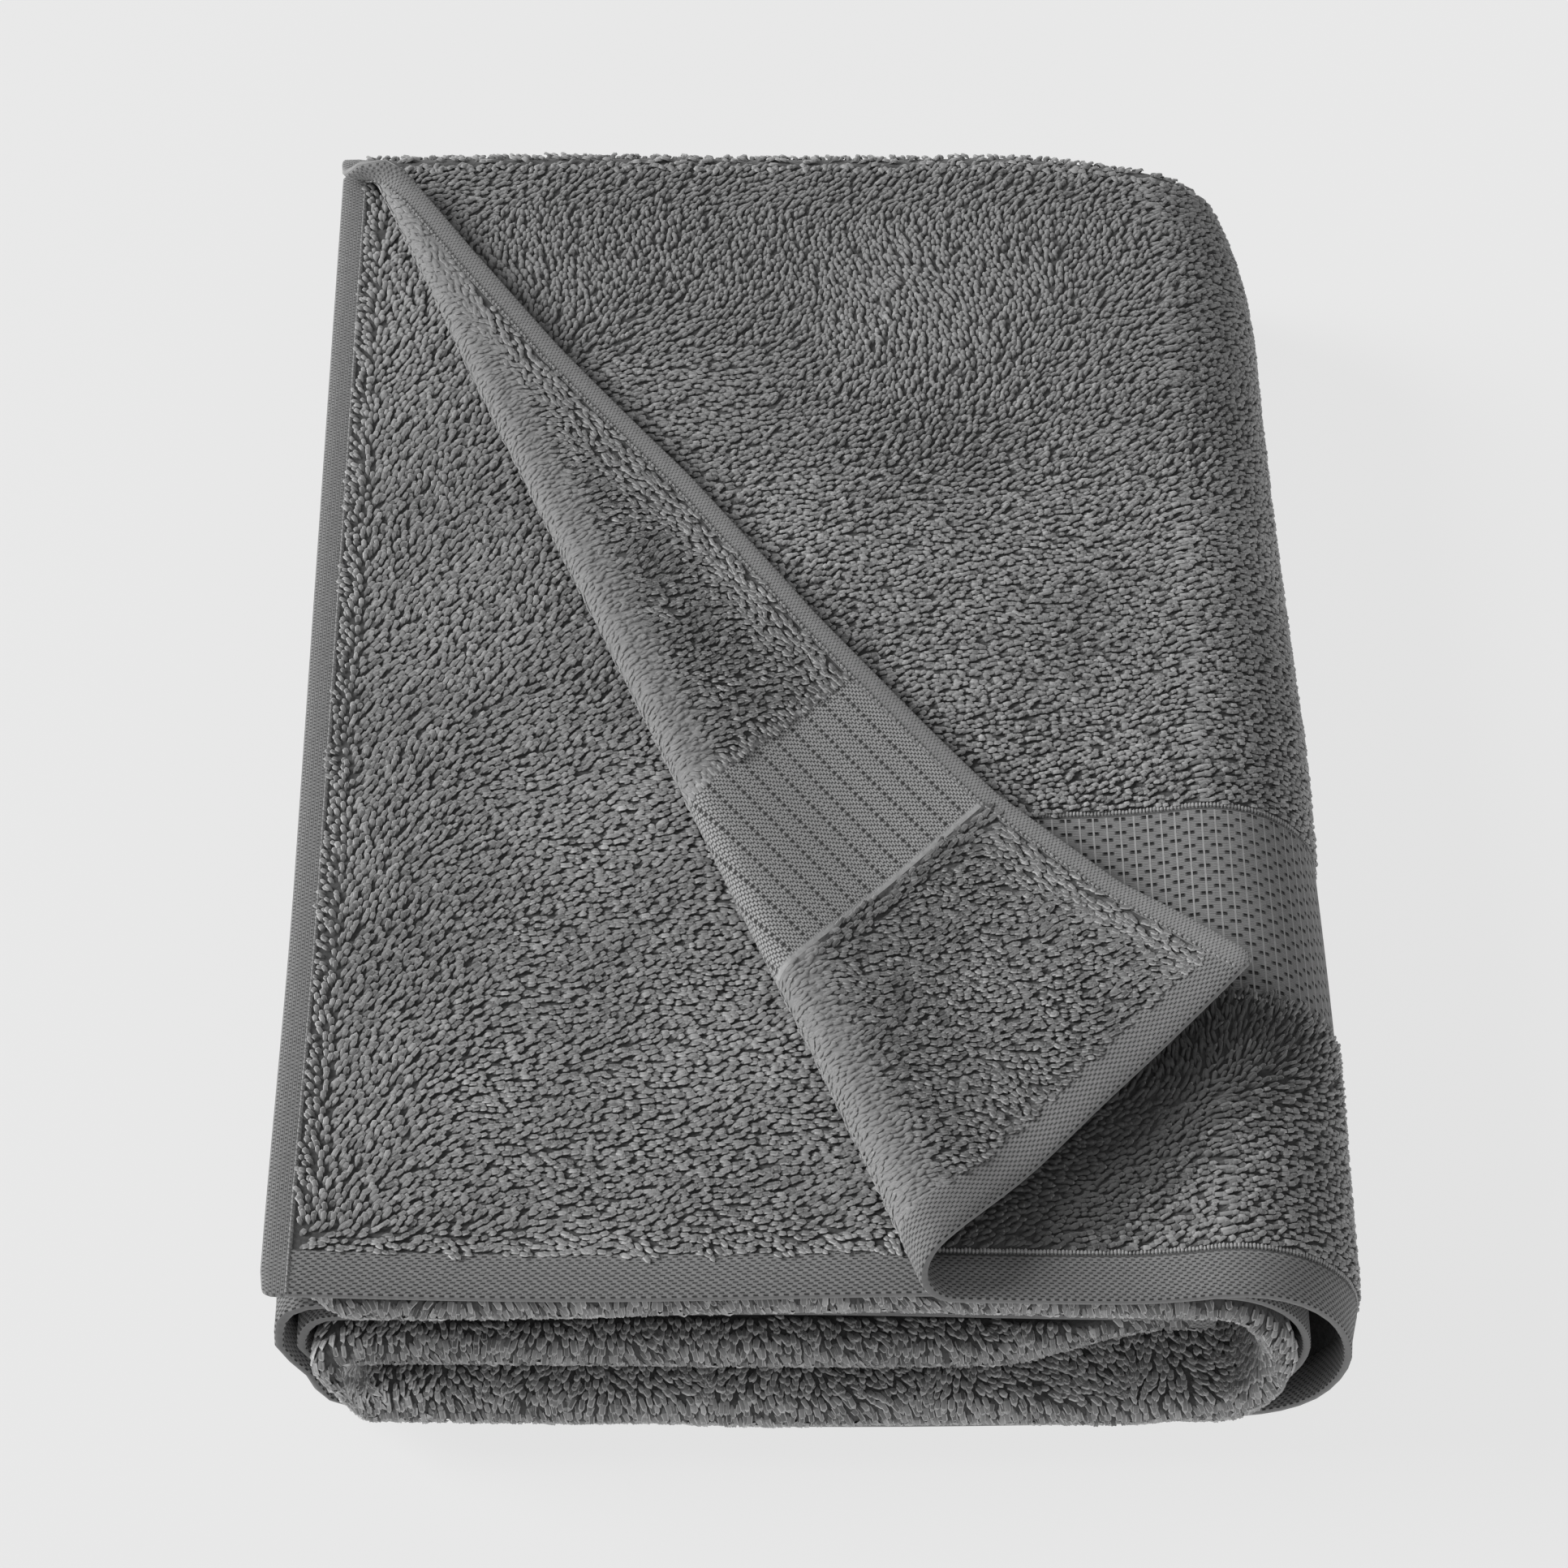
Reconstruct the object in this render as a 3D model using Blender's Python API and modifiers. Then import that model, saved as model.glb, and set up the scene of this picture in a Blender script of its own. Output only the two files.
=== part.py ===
"""Folded bath towel: one terry cloth, folded crosswise in four and lengthwise in three.

The cloth starts as a flat grid. Each grid point has a place on the flat cloth, given by its
column (across the width) and its row (along the length), and is carried to where the folds
take it. Solidify then gives the cloth its thickness. The front is at -Y, the towel rests on
z = 0, and the origin is under the middle of the pack.
"""

import math

import bmesh
import bpy
import numpy as np

MM = 0.001

# The cloth as it is woven and hemmed
CLOTH_WIDTH = 700 * MM
TERRY_THICKNESS = 3.9 * MM
BORDER_THICKNESS = 1.6 * MM
HEM_THICKNESS = 2.0 * MM
SIDE_HEM = 6.5 * MM
END_HEM = 11.5 * MM
BORDER_START = 80 * MM
BORDER_END = 133 * MM
STEP = 1.0 * MM
SHARP_ANGLE = math.radians(60)

# The pack
LAYER = 4.7 * MM
FRONT_TO_BACK = 356 * MM
LEFT_EDGE = -123.5 * MM
EDGE_SPREAD = 3.0 * MM
LEFT_FOLD_REACH = -122 * MM
RIGHT_FOLD_REACH = 121 * MM
CORNER_ROUND = 60 * MM
CORNER_PRESS = 0.35

# Radii of the folds, to the middle of what they bend
LEFT_RADIUS = 2 * LAYER
RIGHT_RADIUS = 4 * LAYER
OUTER_BACK_RADIUS = 1.5 * LAYER
INNER_BACK_RADIUS = 0.5 * LAYER
NOSE_RADIUS = 2.9 * MM

# Heights of the three thirds, to the middle of their four layers
BOTTOM_HEIGHT = 2 * LAYER
INNER_HEIGHT = 6 * LAYER
TOP_HEIGHT = 10 * LAYER

LEFT_CENTRE = LEFT_FOLD_REACH + LEFT_RADIUS + 1.5 * LAYER + TERRY_THICKNESS / 2
RIGHT_CENTRE = RIGHT_FOLD_REACH - RIGHT_RADIUS - 1.5 * LAYER - TERRY_THICKNESS / 2
BACK_CENTRE = FRONT_TO_BACK - OUTER_BACK_RADIUS - TERRY_THICKNESS / 2

# Lengths of the five stretches across the cloth's width
BOTTOM_WIDTH = RIGHT_CENTRE - LEFT_CENTRE
TOP_WIDTH = RIGHT_CENTRE - LEFT_EDGE
LEFT_TURN = math.pi * LEFT_RADIUS
RIGHT_TURN = math.pi * RIGHT_RADIUS
INNER_WIDTH = CLOTH_WIDTH - BOTTOM_WIDTH - TOP_WIDTH - LEFT_TURN - RIGHT_TURN
LEFT_START = INNER_WIDTH
BOTTOM_START = LEFT_START + LEFT_TURN
RIGHT_START = BOTTOM_START + BOTTOM_WIDTH
TOP_START = RIGHT_START + RIGHT_TURN

# How far behind the top hem's edge each layer ends at the front, a row for each third
FIRST_END, CROSS_FOLD, SECOND_END = range(3)
#             first end  cross fold  second end
FRONT_SETBACK = {
    "bottom": (-2.0 * MM, -3.7 * MM, 0.5 * MM),
    "inner": (9.0 * MM, 4.5 * MM, 9.0 * MM),
    "top": (0.0 * MM, 7.2 * MM, 3.5 * MM),
}
SETBACK_FADE = (130 * MM, 300 * MM)
EDGE_WAVER = 0.6 * MM
EDGE_WAVER_LENGTH = 31 * MM

# The top layer stands off the others round the right fold, most at the front
FLARE = 7.5 * MM
FLARE_FADE = (50 * MM, 320 * MM)
FLARE_REACH = 0.9

# The flap: the top layer turned back along a slanting line
FLAP_FRONT = 33 * MM
FLAP_ANGLE = math.radians(23.1)
FLAP_LEAVES = (328 * MM, 347 * MM)
FLAP_SETTLES = 34 * MM
FLAP_REST = 1.06 * LAYER
# Where the flap runs out at the back, the columns crowd together down to this
LEAST_STRIP = 2 * MM
ARC_SHARE = 0.7
# Columns of the other layers at the same place, as shares of the top third's width
PLAIN_LINE = 0.45
PLAIN_ARC = 0.2
# How far the free edge had crept inward before it was turned back, from the front to the back
#                  from front  inward
EDGE_DRIFT = (
    (0 * MM, 33 * MM),
    (40 * MM, 38 * MM),
    (80 * MM, 38 * MM),
    (150 * MM, 30 * MM),
    (205 * MM, 21 * MM),
    (260 * MM, 15 * MM),
    (300 * MM, 9 * MM),
    (348 * MM, 0 * MM),
)
# Radius of the flap's fold, a row for each distance from the front
#                  distance   radius
FLAP_RADII = (
    (0 * MM, 6.6 * MM),
    (25 * MM, 5.6 * MM),
    (70 * MM, 4.4 * MM),
    (180 * MM, 3.9 * MM),
    (330 * MM, 3.1 * MM),
)

# Slow unevenness of the whole pack
RIPPLE = 1.1 * MM
RIPPLE_ACROSS = 190 * MM
RIPPLE_ALONG = 240 * MM


def smooth(value, low, high):
    """Rises softly from 0 at low to 1 at high."""
    share = np.clip((value - low) / (high - low), 0.0, 1.0)
    return share * share * (3 - 2 * share)


def spread(start, end, count):
    """The ends of count equal steps from start to end, without start itself."""
    return [start + (end - start) * k / count for k in range(1, count + 1)]


def section(u):
    """Middle of the four layers at width u: x, z and the outward direction there."""
    if u <= LEFT_START:
        return LEFT_CENTRE + LEFT_START - u, INNER_HEIGHT, 0.0, 1.0
    if u <= BOTTOM_START:
        turn = math.pi / 2 + (u - LEFT_START) / LEFT_RADIUS
        out_x, out_z = math.cos(turn), math.sin(turn)
        middle = (BOTTOM_HEIGHT + INNER_HEIGHT) / 2
        return LEFT_CENTRE + LEFT_RADIUS * out_x, middle + LEFT_RADIUS * out_z, out_x, out_z
    if u <= RIGHT_START:
        return LEFT_CENTRE + u - BOTTOM_START, BOTTOM_HEIGHT, 0.0, -1.0
    if u <= TOP_START:
        turn = (u - RIGHT_START) / RIGHT_RADIUS - math.pi / 2
        out_x, out_z = math.cos(turn), math.sin(turn)
        middle = (BOTTOM_HEIGHT + TOP_HEIGHT) / 2
        return RIGHT_CENTRE + RIGHT_RADIUS * out_x, middle + RIGHT_RADIUS * out_z, out_x, out_z
    return RIGHT_CENTRE - (u - TOP_START), TOP_HEIGHT, 0.0, 1.0


def setback(u, y, end):
    """How far the front of a layer lies behind the top hem's edge, fading with y."""
    bottom, inner, top = (FRONT_SETBACK[third][end] for third in ("bottom", "inner", "top"))
    behind = inner + (bottom - inner) * smooth(u, LEFT_START, BOTTOM_START)
    behind += (top - bottom) * smooth(u, RIGHT_START, TOP_START)
    behind += EDGE_WAVER * math.sin(u / EDGE_WAVER_LENGTH + 2 * end)
    return behind * (1 - smooth(y, *SETBACK_FADE))


def flare(u, y):
    """How far the outermost layer stands off round the right fold."""
    turned = (u - RIGHT_START) / RIGHT_TURN
    if turned <= 0 or turned >= 0.5 + FLARE_REACH:
        return 0.0
    if turned <= 0.5:
        around = math.sin(math.pi * turned) ** 2
    else:
        around = math.cos(math.pi / 2 * (turned - 0.5) / FLARE_REACH) ** 2
    return FLARE * around * (1 - smooth(y, *FLARE_FADE))


def width_share(y, outermost):
    """Share of its first width that the top third takes at y: its free edge spreads a little to
    the back, and on the outermost layer it had crept inward before it was turned back."""
    free_edge = LEFT_EDGE - EDGE_SPREAD * y / BACK_CENTRE
    if outermost:
        distances, drifts = zip(*EDGE_DRIFT)
        free_edge += np.interp(y, distances, drifts)
    return (RIGHT_CENTRE - free_edge) / TOP_WIDTH


def flap_radius(along):
    """Radius of the flap's fold at a distance along it."""
    distances, radii = zip(*FLAP_RADII)
    return np.interp(along, distances, radii)


def turned_back(x, y):
    """Carries a point of the top layer across the flap's fold: x, y and height over the layer."""
    sine, cosine = math.sin(FLAP_ANGLE), math.cos(FLAP_ANGLE)
    along = (FLAP_FRONT - x) * sine + y * cosine
    past = (FLAP_FRONT - x) * cosine - y * sine
    if past <= 0:
        return x, y, 0.0
    radius = flap_radius(along)
    closed = 1 - smooth(y, *FLAP_LEAVES)
    turn = min(past / radius, math.pi * closed)
    rest = max(past - radius * math.pi * closed, 0.0)
    run = radius * math.sin(turn) + rest * math.cos(math.pi * closed)
    lift = radius * (1 - math.cos(turn)) + rest * math.sin(math.pi * closed)
    lift -= (2 * radius - FLAP_REST) * closed * smooth(rest, 0.0, FLAP_SETTLES)
    return x + (past - run) * cosine, y + (past - run) * sine, lift


def settled_place(x, y, z):
    """Where a point of the folded stack comes to lie: its back right corner is pressed round,
    and the whole pack swells a little, unevenly."""
    across = (x - RIGHT_FOLD_REACH) / CORNER_ROUND + 1
    along = (y - FRONT_TO_BACK) / CORNER_ROUND + 1
    if across > 0 and along > 0:
        x += (math.sqrt(1 - CORNER_PRESS * along**2) - 1) * across * CORNER_ROUND
        y += (math.sqrt(1 - CORNER_PRESS * across**2) - 1) * along * CORNER_ROUND
    height_share = z / (TOP_HEIGHT + 2 * LAYER)
    swell = math.sin(2 * math.pi * x / RIPPLE_ACROSS + 1) * math.cos(2 * math.pi * y / RIPPLE_ALONG)
    return x, y - FRONT_TO_BACK / 2, z + RIPPLE * height_share * swell


def folded_place(u, row):
    """Where the folds take the point at width u in a row."""
    y = row["y"] + setback(u, row["y"], row["end"])
    x, z, out_x, out_z = section(u)
    offset = row["offset"]
    if u > TOP_START:
        x = RIGHT_CENTRE - (u - TOP_START) * width_share(y, row["outermost"])
    if row["outermost"] and u <= TOP_START:
        offset += flare(u, y)
    if row["outermost"] and u > TOP_START:
        x, y, lift = turned_back(x, y)
        z += lift + flare(TOP_START + RIGHT_CENTRE - x, y)
    x += offset * out_x
    z += offset * out_z - (LAYER - TERRY_THICKNESS) / 2
    return x, y, z


def columns_of(y, follows_flap):
    """Widths u of the grid's columns in a row. On the top layer they follow the flap's fold."""
    round_start = RIGHT_FOLD_REACH - CORNER_ROUND
    hem_start = CLOTH_WIDTH - SIDE_HEM
    inner_round = LEFT_CENTRE + LEFT_START - round_start
    bottom_round = RIGHT_START - (RIGHT_CENTRE - round_start)
    top_round = TOP_START + (RIGHT_CENTRE - round_start)
    if follows_flap:
        share = width_share(y, True)
        line = TOP_START + (RIGHT_CENTRE - FLAP_FRONT + math.tan(FLAP_ANGLE) * y) / share
        line = min(line, hem_start - LEAST_STRIP)
        arc = math.pi * flap_radius(y) / math.cos(FLAP_ANGLE) / share
        arc = min(arc, ARC_SHARE * (hem_start - line))
    else:
        line = TOP_START + PLAIN_LINE * TOP_WIDTH
        arc = PLAIN_ARC * TOP_WIDTH
    widths = [0.0, SIDE_HEM - STEP / 2, SIDE_HEM + STEP / 2, inner_round]
    widths += spread(inner_round, LEFT_START, 3)
    widths += spread(LEFT_START, BOTTOM_START, 6)
    widths += spread(BOTTOM_START, bottom_round, 3)
    widths += spread(bottom_round, RIGHT_START, 2)
    widths += spread(RIGHT_START, TOP_START, 8)
    widths += spread(TOP_START, top_round, 2)
    widths += spread(top_round, line, 3)
    widths += spread(line, line + arc, 6)
    widths += spread(line + arc, hem_start - STEP / 2, 4)
    widths += [hem_start + STEP / 2]
    widths += spread(hem_start + STEP / 2, CLOTH_WIDTH, 2)
    return np.array(widths)


def make_row(y, offset, end, thickness=TERRY_THICKNESS, outermost=False, columns=None):
    """One row across the cloth. Its offset is outward from the middle of the four layers."""
    if columns is None:
        columns = columns_of(y, outermost)
    return dict(y=y, offset=offset, end=end, thickness=thickness, outermost=outermost, columns=columns)


def build_rows():
    """Every row along the cloth's length, from the end with the border to the other end: the
    outermost layer, the layer under it, the cross fold at the front and the two inner layers."""
    corner = FRONT_TO_BACK - CORNER_ROUND
    back = spread(corner, BACK_CENTRE, 3)
    flap_back = spread(corner, FLAP_LEAVES[0], 3) + spread(FLAP_LEAVES[0], BACK_CENTRE, 4)
    outer, inner = OUTER_BACK_RADIUS, INNER_BACK_RADIUS
    hem = [0.0, END_HEM / 2, END_HEM - STEP / 2]
    nose_end = 4 * NOSE_RADIUS
    plain = [nose_end] + spread(nose_end, corner, 4) + back
    before_border = [END_HEM + STEP / 2, (END_HEM + BORDER_START) / 2, BORDER_START - STEP / 2]
    border = [BORDER_START + STEP / 2, (BORDER_START + BORDER_END) / 2, BORDER_END - STEP / 2]
    after_border = [BORDER_END + STEP / 2] + spread(BORDER_END + STEP / 2, corner, 5) + flap_back
    after_hem = [END_HEM + STEP / 2] + spread(END_HEM + STEP / 2, corner, 4) + back

    rows = [make_row(y, outer, FIRST_END, HEM_THICKNESS, True) for y in hem]
    rows += [make_row(y, outer, FIRST_END, outermost=True) for y in before_border]
    rows += [make_row(y, outer, FIRST_END, BORDER_THICKNESS, True) for y in border]
    rows += [make_row(y, outer, FIRST_END, outermost=True) for y in after_border]
    flap_columns = rows[-1]["columns"]
    plain_columns = columns_of(0.0, False)
    for turn in spread(0, math.pi, 6)[:-1]:
        columns = flap_columns + (plain_columns - flap_columns) * turn / math.pi
        y, offset = BACK_CENTRE + outer * math.sin(turn), outer * math.cos(turn)
        rows.append(make_row(y, offset, FIRST_END, columns=columns))
    rows += [make_row(y, -outer, CROSS_FOLD) for y in reversed([0.0] + plain)]
    for turn in spread(0, math.pi, 6):
        y, offset = -NOSE_RADIUS * math.sin(turn), NOSE_RADIUS * (1 - math.cos(turn)) - outer
        rows.append(make_row(y, offset, CROSS_FOLD))
    rows += [make_row(y, -inner, CROSS_FOLD) for y in plain]
    for turn in spread(0, math.pi, 5)[:-1]:
        y, offset = BACK_CENTRE + inner * math.sin(turn), -inner * math.cos(turn)
        rows.append(make_row(y, offset, SECOND_END))
    rows += [make_row(y, inner, SECOND_END) for y in reversed(after_hem)]
    rows += [make_row(y, inner, SECOND_END, HEM_THICKNESS) for y in reversed(hem)]
    return rows


def clear_scene():
    for existing in list(bpy.data.objects):
        bpy.data.objects.remove(existing, do_unlink=True)


def grey_cotton():
    material = bpy.data.materials.new("grey_cotton")
    material.use_nodes = True
    surface = material.node_tree.nodes["Principled BSDF"]
    surface.inputs["Base Color"].default_value = (0.155, 0.155, 0.155, 1.0)
    surface.inputs["Roughness"].default_value = 0.95
    surface.inputs["Metallic"].default_value = 0.0
    return material


def build_towel(collection):
    """One closed solid: the folded grid given its thickness, then settled and centred."""
    rows = build_rows()
    column_count = len(rows[0]["columns"])
    grid = bmesh.new()
    bmesh.ops.create_grid(grid, x_segments=column_count - 1, y_segments=len(rows) - 1, size=1.0)
    mesh = bpy.data.meshes.new("towel")
    grid.to_mesh(mesh)
    grid.free()
    towel = bpy.data.objects.new("towel", mesh)
    collection.objects.link(towel)

    thickness_group = towel.vertex_groups.new(name="thickness")
    for vertex in mesh.vertices:
        column = round((vertex.co.x + 1) / 2 * (column_count - 1))
        row = rows[round((vertex.co.y + 1) / 2 * (len(rows) - 1))]
        u = row["columns"][column]
        in_side_hem = u < SIDE_HEM or u > CLOTH_WIDTH - SIDE_HEM
        thickness = min(row["thickness"], HEM_THICKNESS) if in_side_hem else row["thickness"]
        thickness_group.add([vertex.index], thickness / TERRY_THICKNESS, "REPLACE")
        vertex.co = folded_place(u, row)

    solidify = towel.modifiers.new("thickness", "SOLIDIFY")
    solidify.thickness = TERRY_THICKNESS
    solidify.offset = 0.0
    solidify.vertex_group = thickness_group.name
    bpy.context.view_layer.update()
    thick = towel.evaluated_get(bpy.context.evaluated_depsgraph_get())
    towel.data = bpy.data.meshes.new_from_object(thick)
    towel.modifiers.clear()
    bpy.data.meshes.remove(mesh)

    # The stack settles once it is thick, so that no layer comes through its neighbour
    points = np.array([settled_place(*vertex.co) for vertex in towel.data.vertices])
    middle = (points.min(axis=0) + points.max(axis=0)) / 2
    points -= (middle[0], middle[1], points[:, 2].min())
    towel.data.vertices.foreach_set("co", points.ravel())
    towel.data.update()
    towel.data.shade_smooth()
    towel.data.set_sharp_from_angle(angle=SHARP_ANGLE)
    towel.data.materials.append(grey_cotton())
    return towel


def main():
    clear_scene()
    collection = bpy.data.collections.new("folded_bath_towel")
    bpy.context.scene.collection.children.link(collection)
    build_towel(collection)


main()
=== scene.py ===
# %% [markdown]
# # A folded bath towel
#
# A bath towel is one length of terry cloth: a plain woven ground, with half a million small yarn
# loops on each face. Near one end the weaver leaves the loops out, which gives the flat band
# called the border, and each edge is turned in twice and stitched as a hem.
#
# The looks are made in the same order as the cloth: first the ground sheet, laid along the folds of
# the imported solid, then the loops, one small mesh each, only where they can be seen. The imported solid
# gives the place and the size of everything, so it is loaded first.

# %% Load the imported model
import math

import bpy
import numpy as np
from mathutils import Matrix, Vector
from mathutils.bvhtree import BVHTree


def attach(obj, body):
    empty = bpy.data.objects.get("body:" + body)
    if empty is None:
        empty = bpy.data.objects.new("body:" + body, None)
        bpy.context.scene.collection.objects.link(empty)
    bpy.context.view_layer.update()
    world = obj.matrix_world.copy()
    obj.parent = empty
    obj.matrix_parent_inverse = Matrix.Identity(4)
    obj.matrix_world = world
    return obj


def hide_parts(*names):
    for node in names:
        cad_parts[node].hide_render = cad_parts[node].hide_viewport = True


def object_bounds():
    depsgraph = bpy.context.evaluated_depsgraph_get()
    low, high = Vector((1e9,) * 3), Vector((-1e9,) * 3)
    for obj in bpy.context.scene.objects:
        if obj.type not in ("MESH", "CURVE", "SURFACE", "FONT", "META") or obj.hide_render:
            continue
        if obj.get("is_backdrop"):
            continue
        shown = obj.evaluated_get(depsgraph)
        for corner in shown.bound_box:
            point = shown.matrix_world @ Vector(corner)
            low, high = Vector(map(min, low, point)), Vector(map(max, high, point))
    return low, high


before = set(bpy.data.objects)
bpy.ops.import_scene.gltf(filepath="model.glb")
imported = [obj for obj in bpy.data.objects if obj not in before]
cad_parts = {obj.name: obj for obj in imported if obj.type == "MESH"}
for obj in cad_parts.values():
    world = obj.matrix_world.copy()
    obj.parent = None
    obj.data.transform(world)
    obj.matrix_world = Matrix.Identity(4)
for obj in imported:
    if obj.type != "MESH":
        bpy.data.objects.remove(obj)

solid_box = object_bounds()


def print_box(words, box):
    print(words, "reaches from", *[[round(v, 4) for v in corner] for corner in box])


print_box("the packed solid", solid_box)

# %% [markdown]
# ## Where the camera stands
#
# The photograph looks down on the towel from the front, at a bit more than 54 degrees below level.
# Its left and right sides run together towards the back, and how fast they do gives the distance.
# A camera in Blender looks down its own -Z axis. Turned by 90 degrees about X it would look level
# along +Y, so it is turned by 90 degrees less the downward tilt.

# %% The camera
MM = 0.001
CAMERA_PLACE = (-7.0 * MM, -640.4 * MM, 906 * MM)
CAMERA_TILT = math.radians(54.4)
CAMERA_LENS = 98.4
SENSOR_WIDTH = 36.0


def placed(name, data):
    """A new object with that data, linked into the scene."""
    thing = bpy.data.objects.new(name, data)
    bpy.context.scene.collection.objects.link(thing)
    return thing


camera = placed("camera", bpy.data.cameras.new("camera"))
camera.data.lens = CAMERA_LENS
camera.data.sensor_width = SENSOR_WIDTH
camera.location = CAMERA_PLACE
camera.rotation_euler = (math.radians(90) - CAMERA_TILT, 0.0, 0.0)
bpy.context.scene.camera = camera
print("the camera is", round(Vector(CAMERA_PLACE).length, 3), "m from the middle of the underside")

# %% [markdown]
# ## Floor and light
#
# The towel lies on a pale, even studio floor, and its shadow is faint. A bright world lights it from
# all around, but a bare sky would leave the pile flat and grey. So a wide sun from the upper left
# gives each loop a lit side and a dark side, and a weaker one fills in from the front. A sun lights
# the whole floor evenly, where a nearby lamp would leave it bright on one side. The floor glows a
# little, as a light table does, so it stays pale beside the towel and lights its sides.

# %% A pale floor
FLOOR_SIZE = 8.0
FLOOR_COLOUR = (0.04, 0.04, 0.04, 1.0)
FLOOR_ROUGHNESS = 0.9
FLOOR_GLOW = 0.742
SKY_COLOUR = (1.0, 1.0, 1.0, 1.0)
SKY_STRENGTH = 0.37


def set_inputs(node, values):
    """Sets values on a node's own sockets, by their names."""
    for socket, value in values.items():
        node.inputs[socket].default_value = value


def plain_material(name, colour, roughness, more):
    """A material of one colour. What is the same all over is set on the shader's own sockets."""
    material = bpy.data.materials.new(name)
    material.use_nodes = True
    shader = material.node_tree.nodes["Principled BSDF"]
    set_inputs(shader, {"Base Color": colour, "Roughness": roughness, **more})
    return material


bpy.ops.mesh.primitive_plane_add(size=FLOOR_SIZE)
floor = bpy.context.object
floor.name = "studio_floor"
glow = {"Emission Color": SKY_COLOUR, "Emission Strength": FLOOR_GLOW}
floor.data.materials.append(plain_material("studio_floor", FLOOR_COLOUR, FLOOR_ROUGHNESS, glow))
floor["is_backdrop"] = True
print("the floor is", FLOOR_SIZE, "m wide")

world = bpy.data.worlds.new("studio")
world.use_nodes = True
set_inputs(world.node_tree.nodes["Background"], {"Color": SKY_COLOUR, "Strength": SKY_STRENGTH})
bpy.context.scene.world = world
bpy.context.scene.view_settings.view_transform = "Standard"

# %% Two soft suns
SUNS = {
    # name           shines from          spread  strength
    "upper_left": ((-1.60, 0.50, 0.86), 28, 4.4),
    "front_fill": ((0.35, -1.60, 0.30), 40, 1.4),
}
for name, (place, spread, strength) in SUNS.items():
    sun = placed(name, bpy.data.lights.new(name, "SUN"))
    sun.data.angle = math.radians(spread)
    sun.data.energy = strength
    sun.location = place
    sun.rotation_euler = (-Vector(place)).to_track_quat("-Z", "Y").to_euler()
print(len(SUNS), "suns")

# %% [markdown]
# ## The cloth and how it is folded
#
# The towel is 70 by 140 cm. It was folded in half across, and in half across again, and then in
# three along its length, so twelve layers lie on each other. Last, the free front corner of the top
# layer was turned back over itself.
#
# Every point of the flat cloth has two numbers: `u`, how far it is from one long edge, and `s`, how
# far it is along the cloth from the end with the border. Folding is then a function from (u, s) to a
# place in space. Writing it as a function, rather than moving vertices by hand, lets the ground
# sheet, the loops and the stitches all use the same folds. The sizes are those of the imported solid.

# %% Sizes of the woven cloth
def mm(*values):
    """Sizes in millimetres, turned into metres."""
    return tuple(value * MM for value in values)


CLOTH_WIDTH, CLOTH_LENGTH = mm(700, 1400)
SIDE_HEM, END_HEM = mm(6.5, 11.5)
BORDER_START, BORDER_END = mm(80, 133)
TERRY_THICKNESS, GROUND_THICKNESS, BORDER_THICKNESS, HEM_THICKNESS = mm(3.9, 1.3, 1.6, 2.0)
print("the border is", round((BORDER_END - BORDER_START) / MM), "mm wide")

# %% Sizes of the pack
LAYER, NOSE_RADIUS = mm(4.7, 2.9)
FRONT_TO_BACK = 356 * MM
LEFT_EDGE, EDGE_SPREAD = mm(-123.5, 3.0)
LEFT_FOLD_REACH, RIGHT_FOLD_REACH = mm(-122, 121)
LEFT_RADIUS, RIGHT_RADIUS = 2 * LAYER, 4 * LAYER
OUTER_BACK_RADIUS, INNER_BACK_RADIUS = 1.5 * LAYER, 0.5 * LAYER
BOTTOM_HEIGHT, INNER_HEIGHT, TOP_HEIGHT = 2 * LAYER, 6 * LAYER, 10 * LAYER
PACK_HEIGHT = TOP_HEIGHT + 2 * LAYER

LEFT_CENTRE = LEFT_FOLD_REACH + LEFT_RADIUS + 1.5 * LAYER + TERRY_THICKNESS / 2
RIGHT_CENTRE = RIGHT_FOLD_REACH - RIGHT_RADIUS - 1.5 * LAYER - TERRY_THICKNESS / 2
BACK_CENTRE = FRONT_TO_BACK - OUTER_BACK_RADIUS - TERRY_THICKNESS / 2

# Five stretches across the width: inner third, left turn, bottom third, right turn, top third
BOTTOM_WIDTH = RIGHT_CENTRE - LEFT_CENTRE
TOP_WIDTH = RIGHT_CENTRE - LEFT_EDGE
LEFT_TURN, RIGHT_TURN = math.pi * LEFT_RADIUS, math.pi * RIGHT_RADIUS
LEFT_START = CLOTH_WIDTH - BOTTOM_WIDTH - TOP_WIDTH - LEFT_TURN - RIGHT_TURN
BOTTOM_START = LEFT_START + LEFT_TURN
RIGHT_START = BOTTOM_START + BOTTOM_WIDTH
TOP_START = RIGHT_START + RIGHT_TURN

# Seven stretches along the length: four layers, with a turn between each two
BACK_TURN_START = BACK_CENTRE
SECOND_LAYER_START = BACK_TURN_START + math.pi * OUTER_BACK_RADIUS
NOSE_START = SECOND_LAYER_START + BACK_CENTRE
THIRD_LAYER_START = NOSE_START + math.pi * NOSE_RADIUS
INNER_TURN_START = THIRD_LAYER_START + BACK_CENTRE
LAST_LAYER_START = INNER_TURN_START + math.pi * INNER_BACK_RADIUS
CLOTH_END = LAST_LAYER_START + BACK_CENTRE
print("along the folds the cloth is", round(CLOTH_END, 3), "m long and", round(CLOTH_WIDTH, 3), "m wide")

# %% [markdown]
# ### Across the width
#
# Seen from the front, the cloth is a spiral: the inner third lies in the middle, the cloth turns
# round it at the left, runs under it, turns up at the right and comes back over the top.
# `section` gives the middle of the four layers of that spiral, and which way is outward there.

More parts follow.
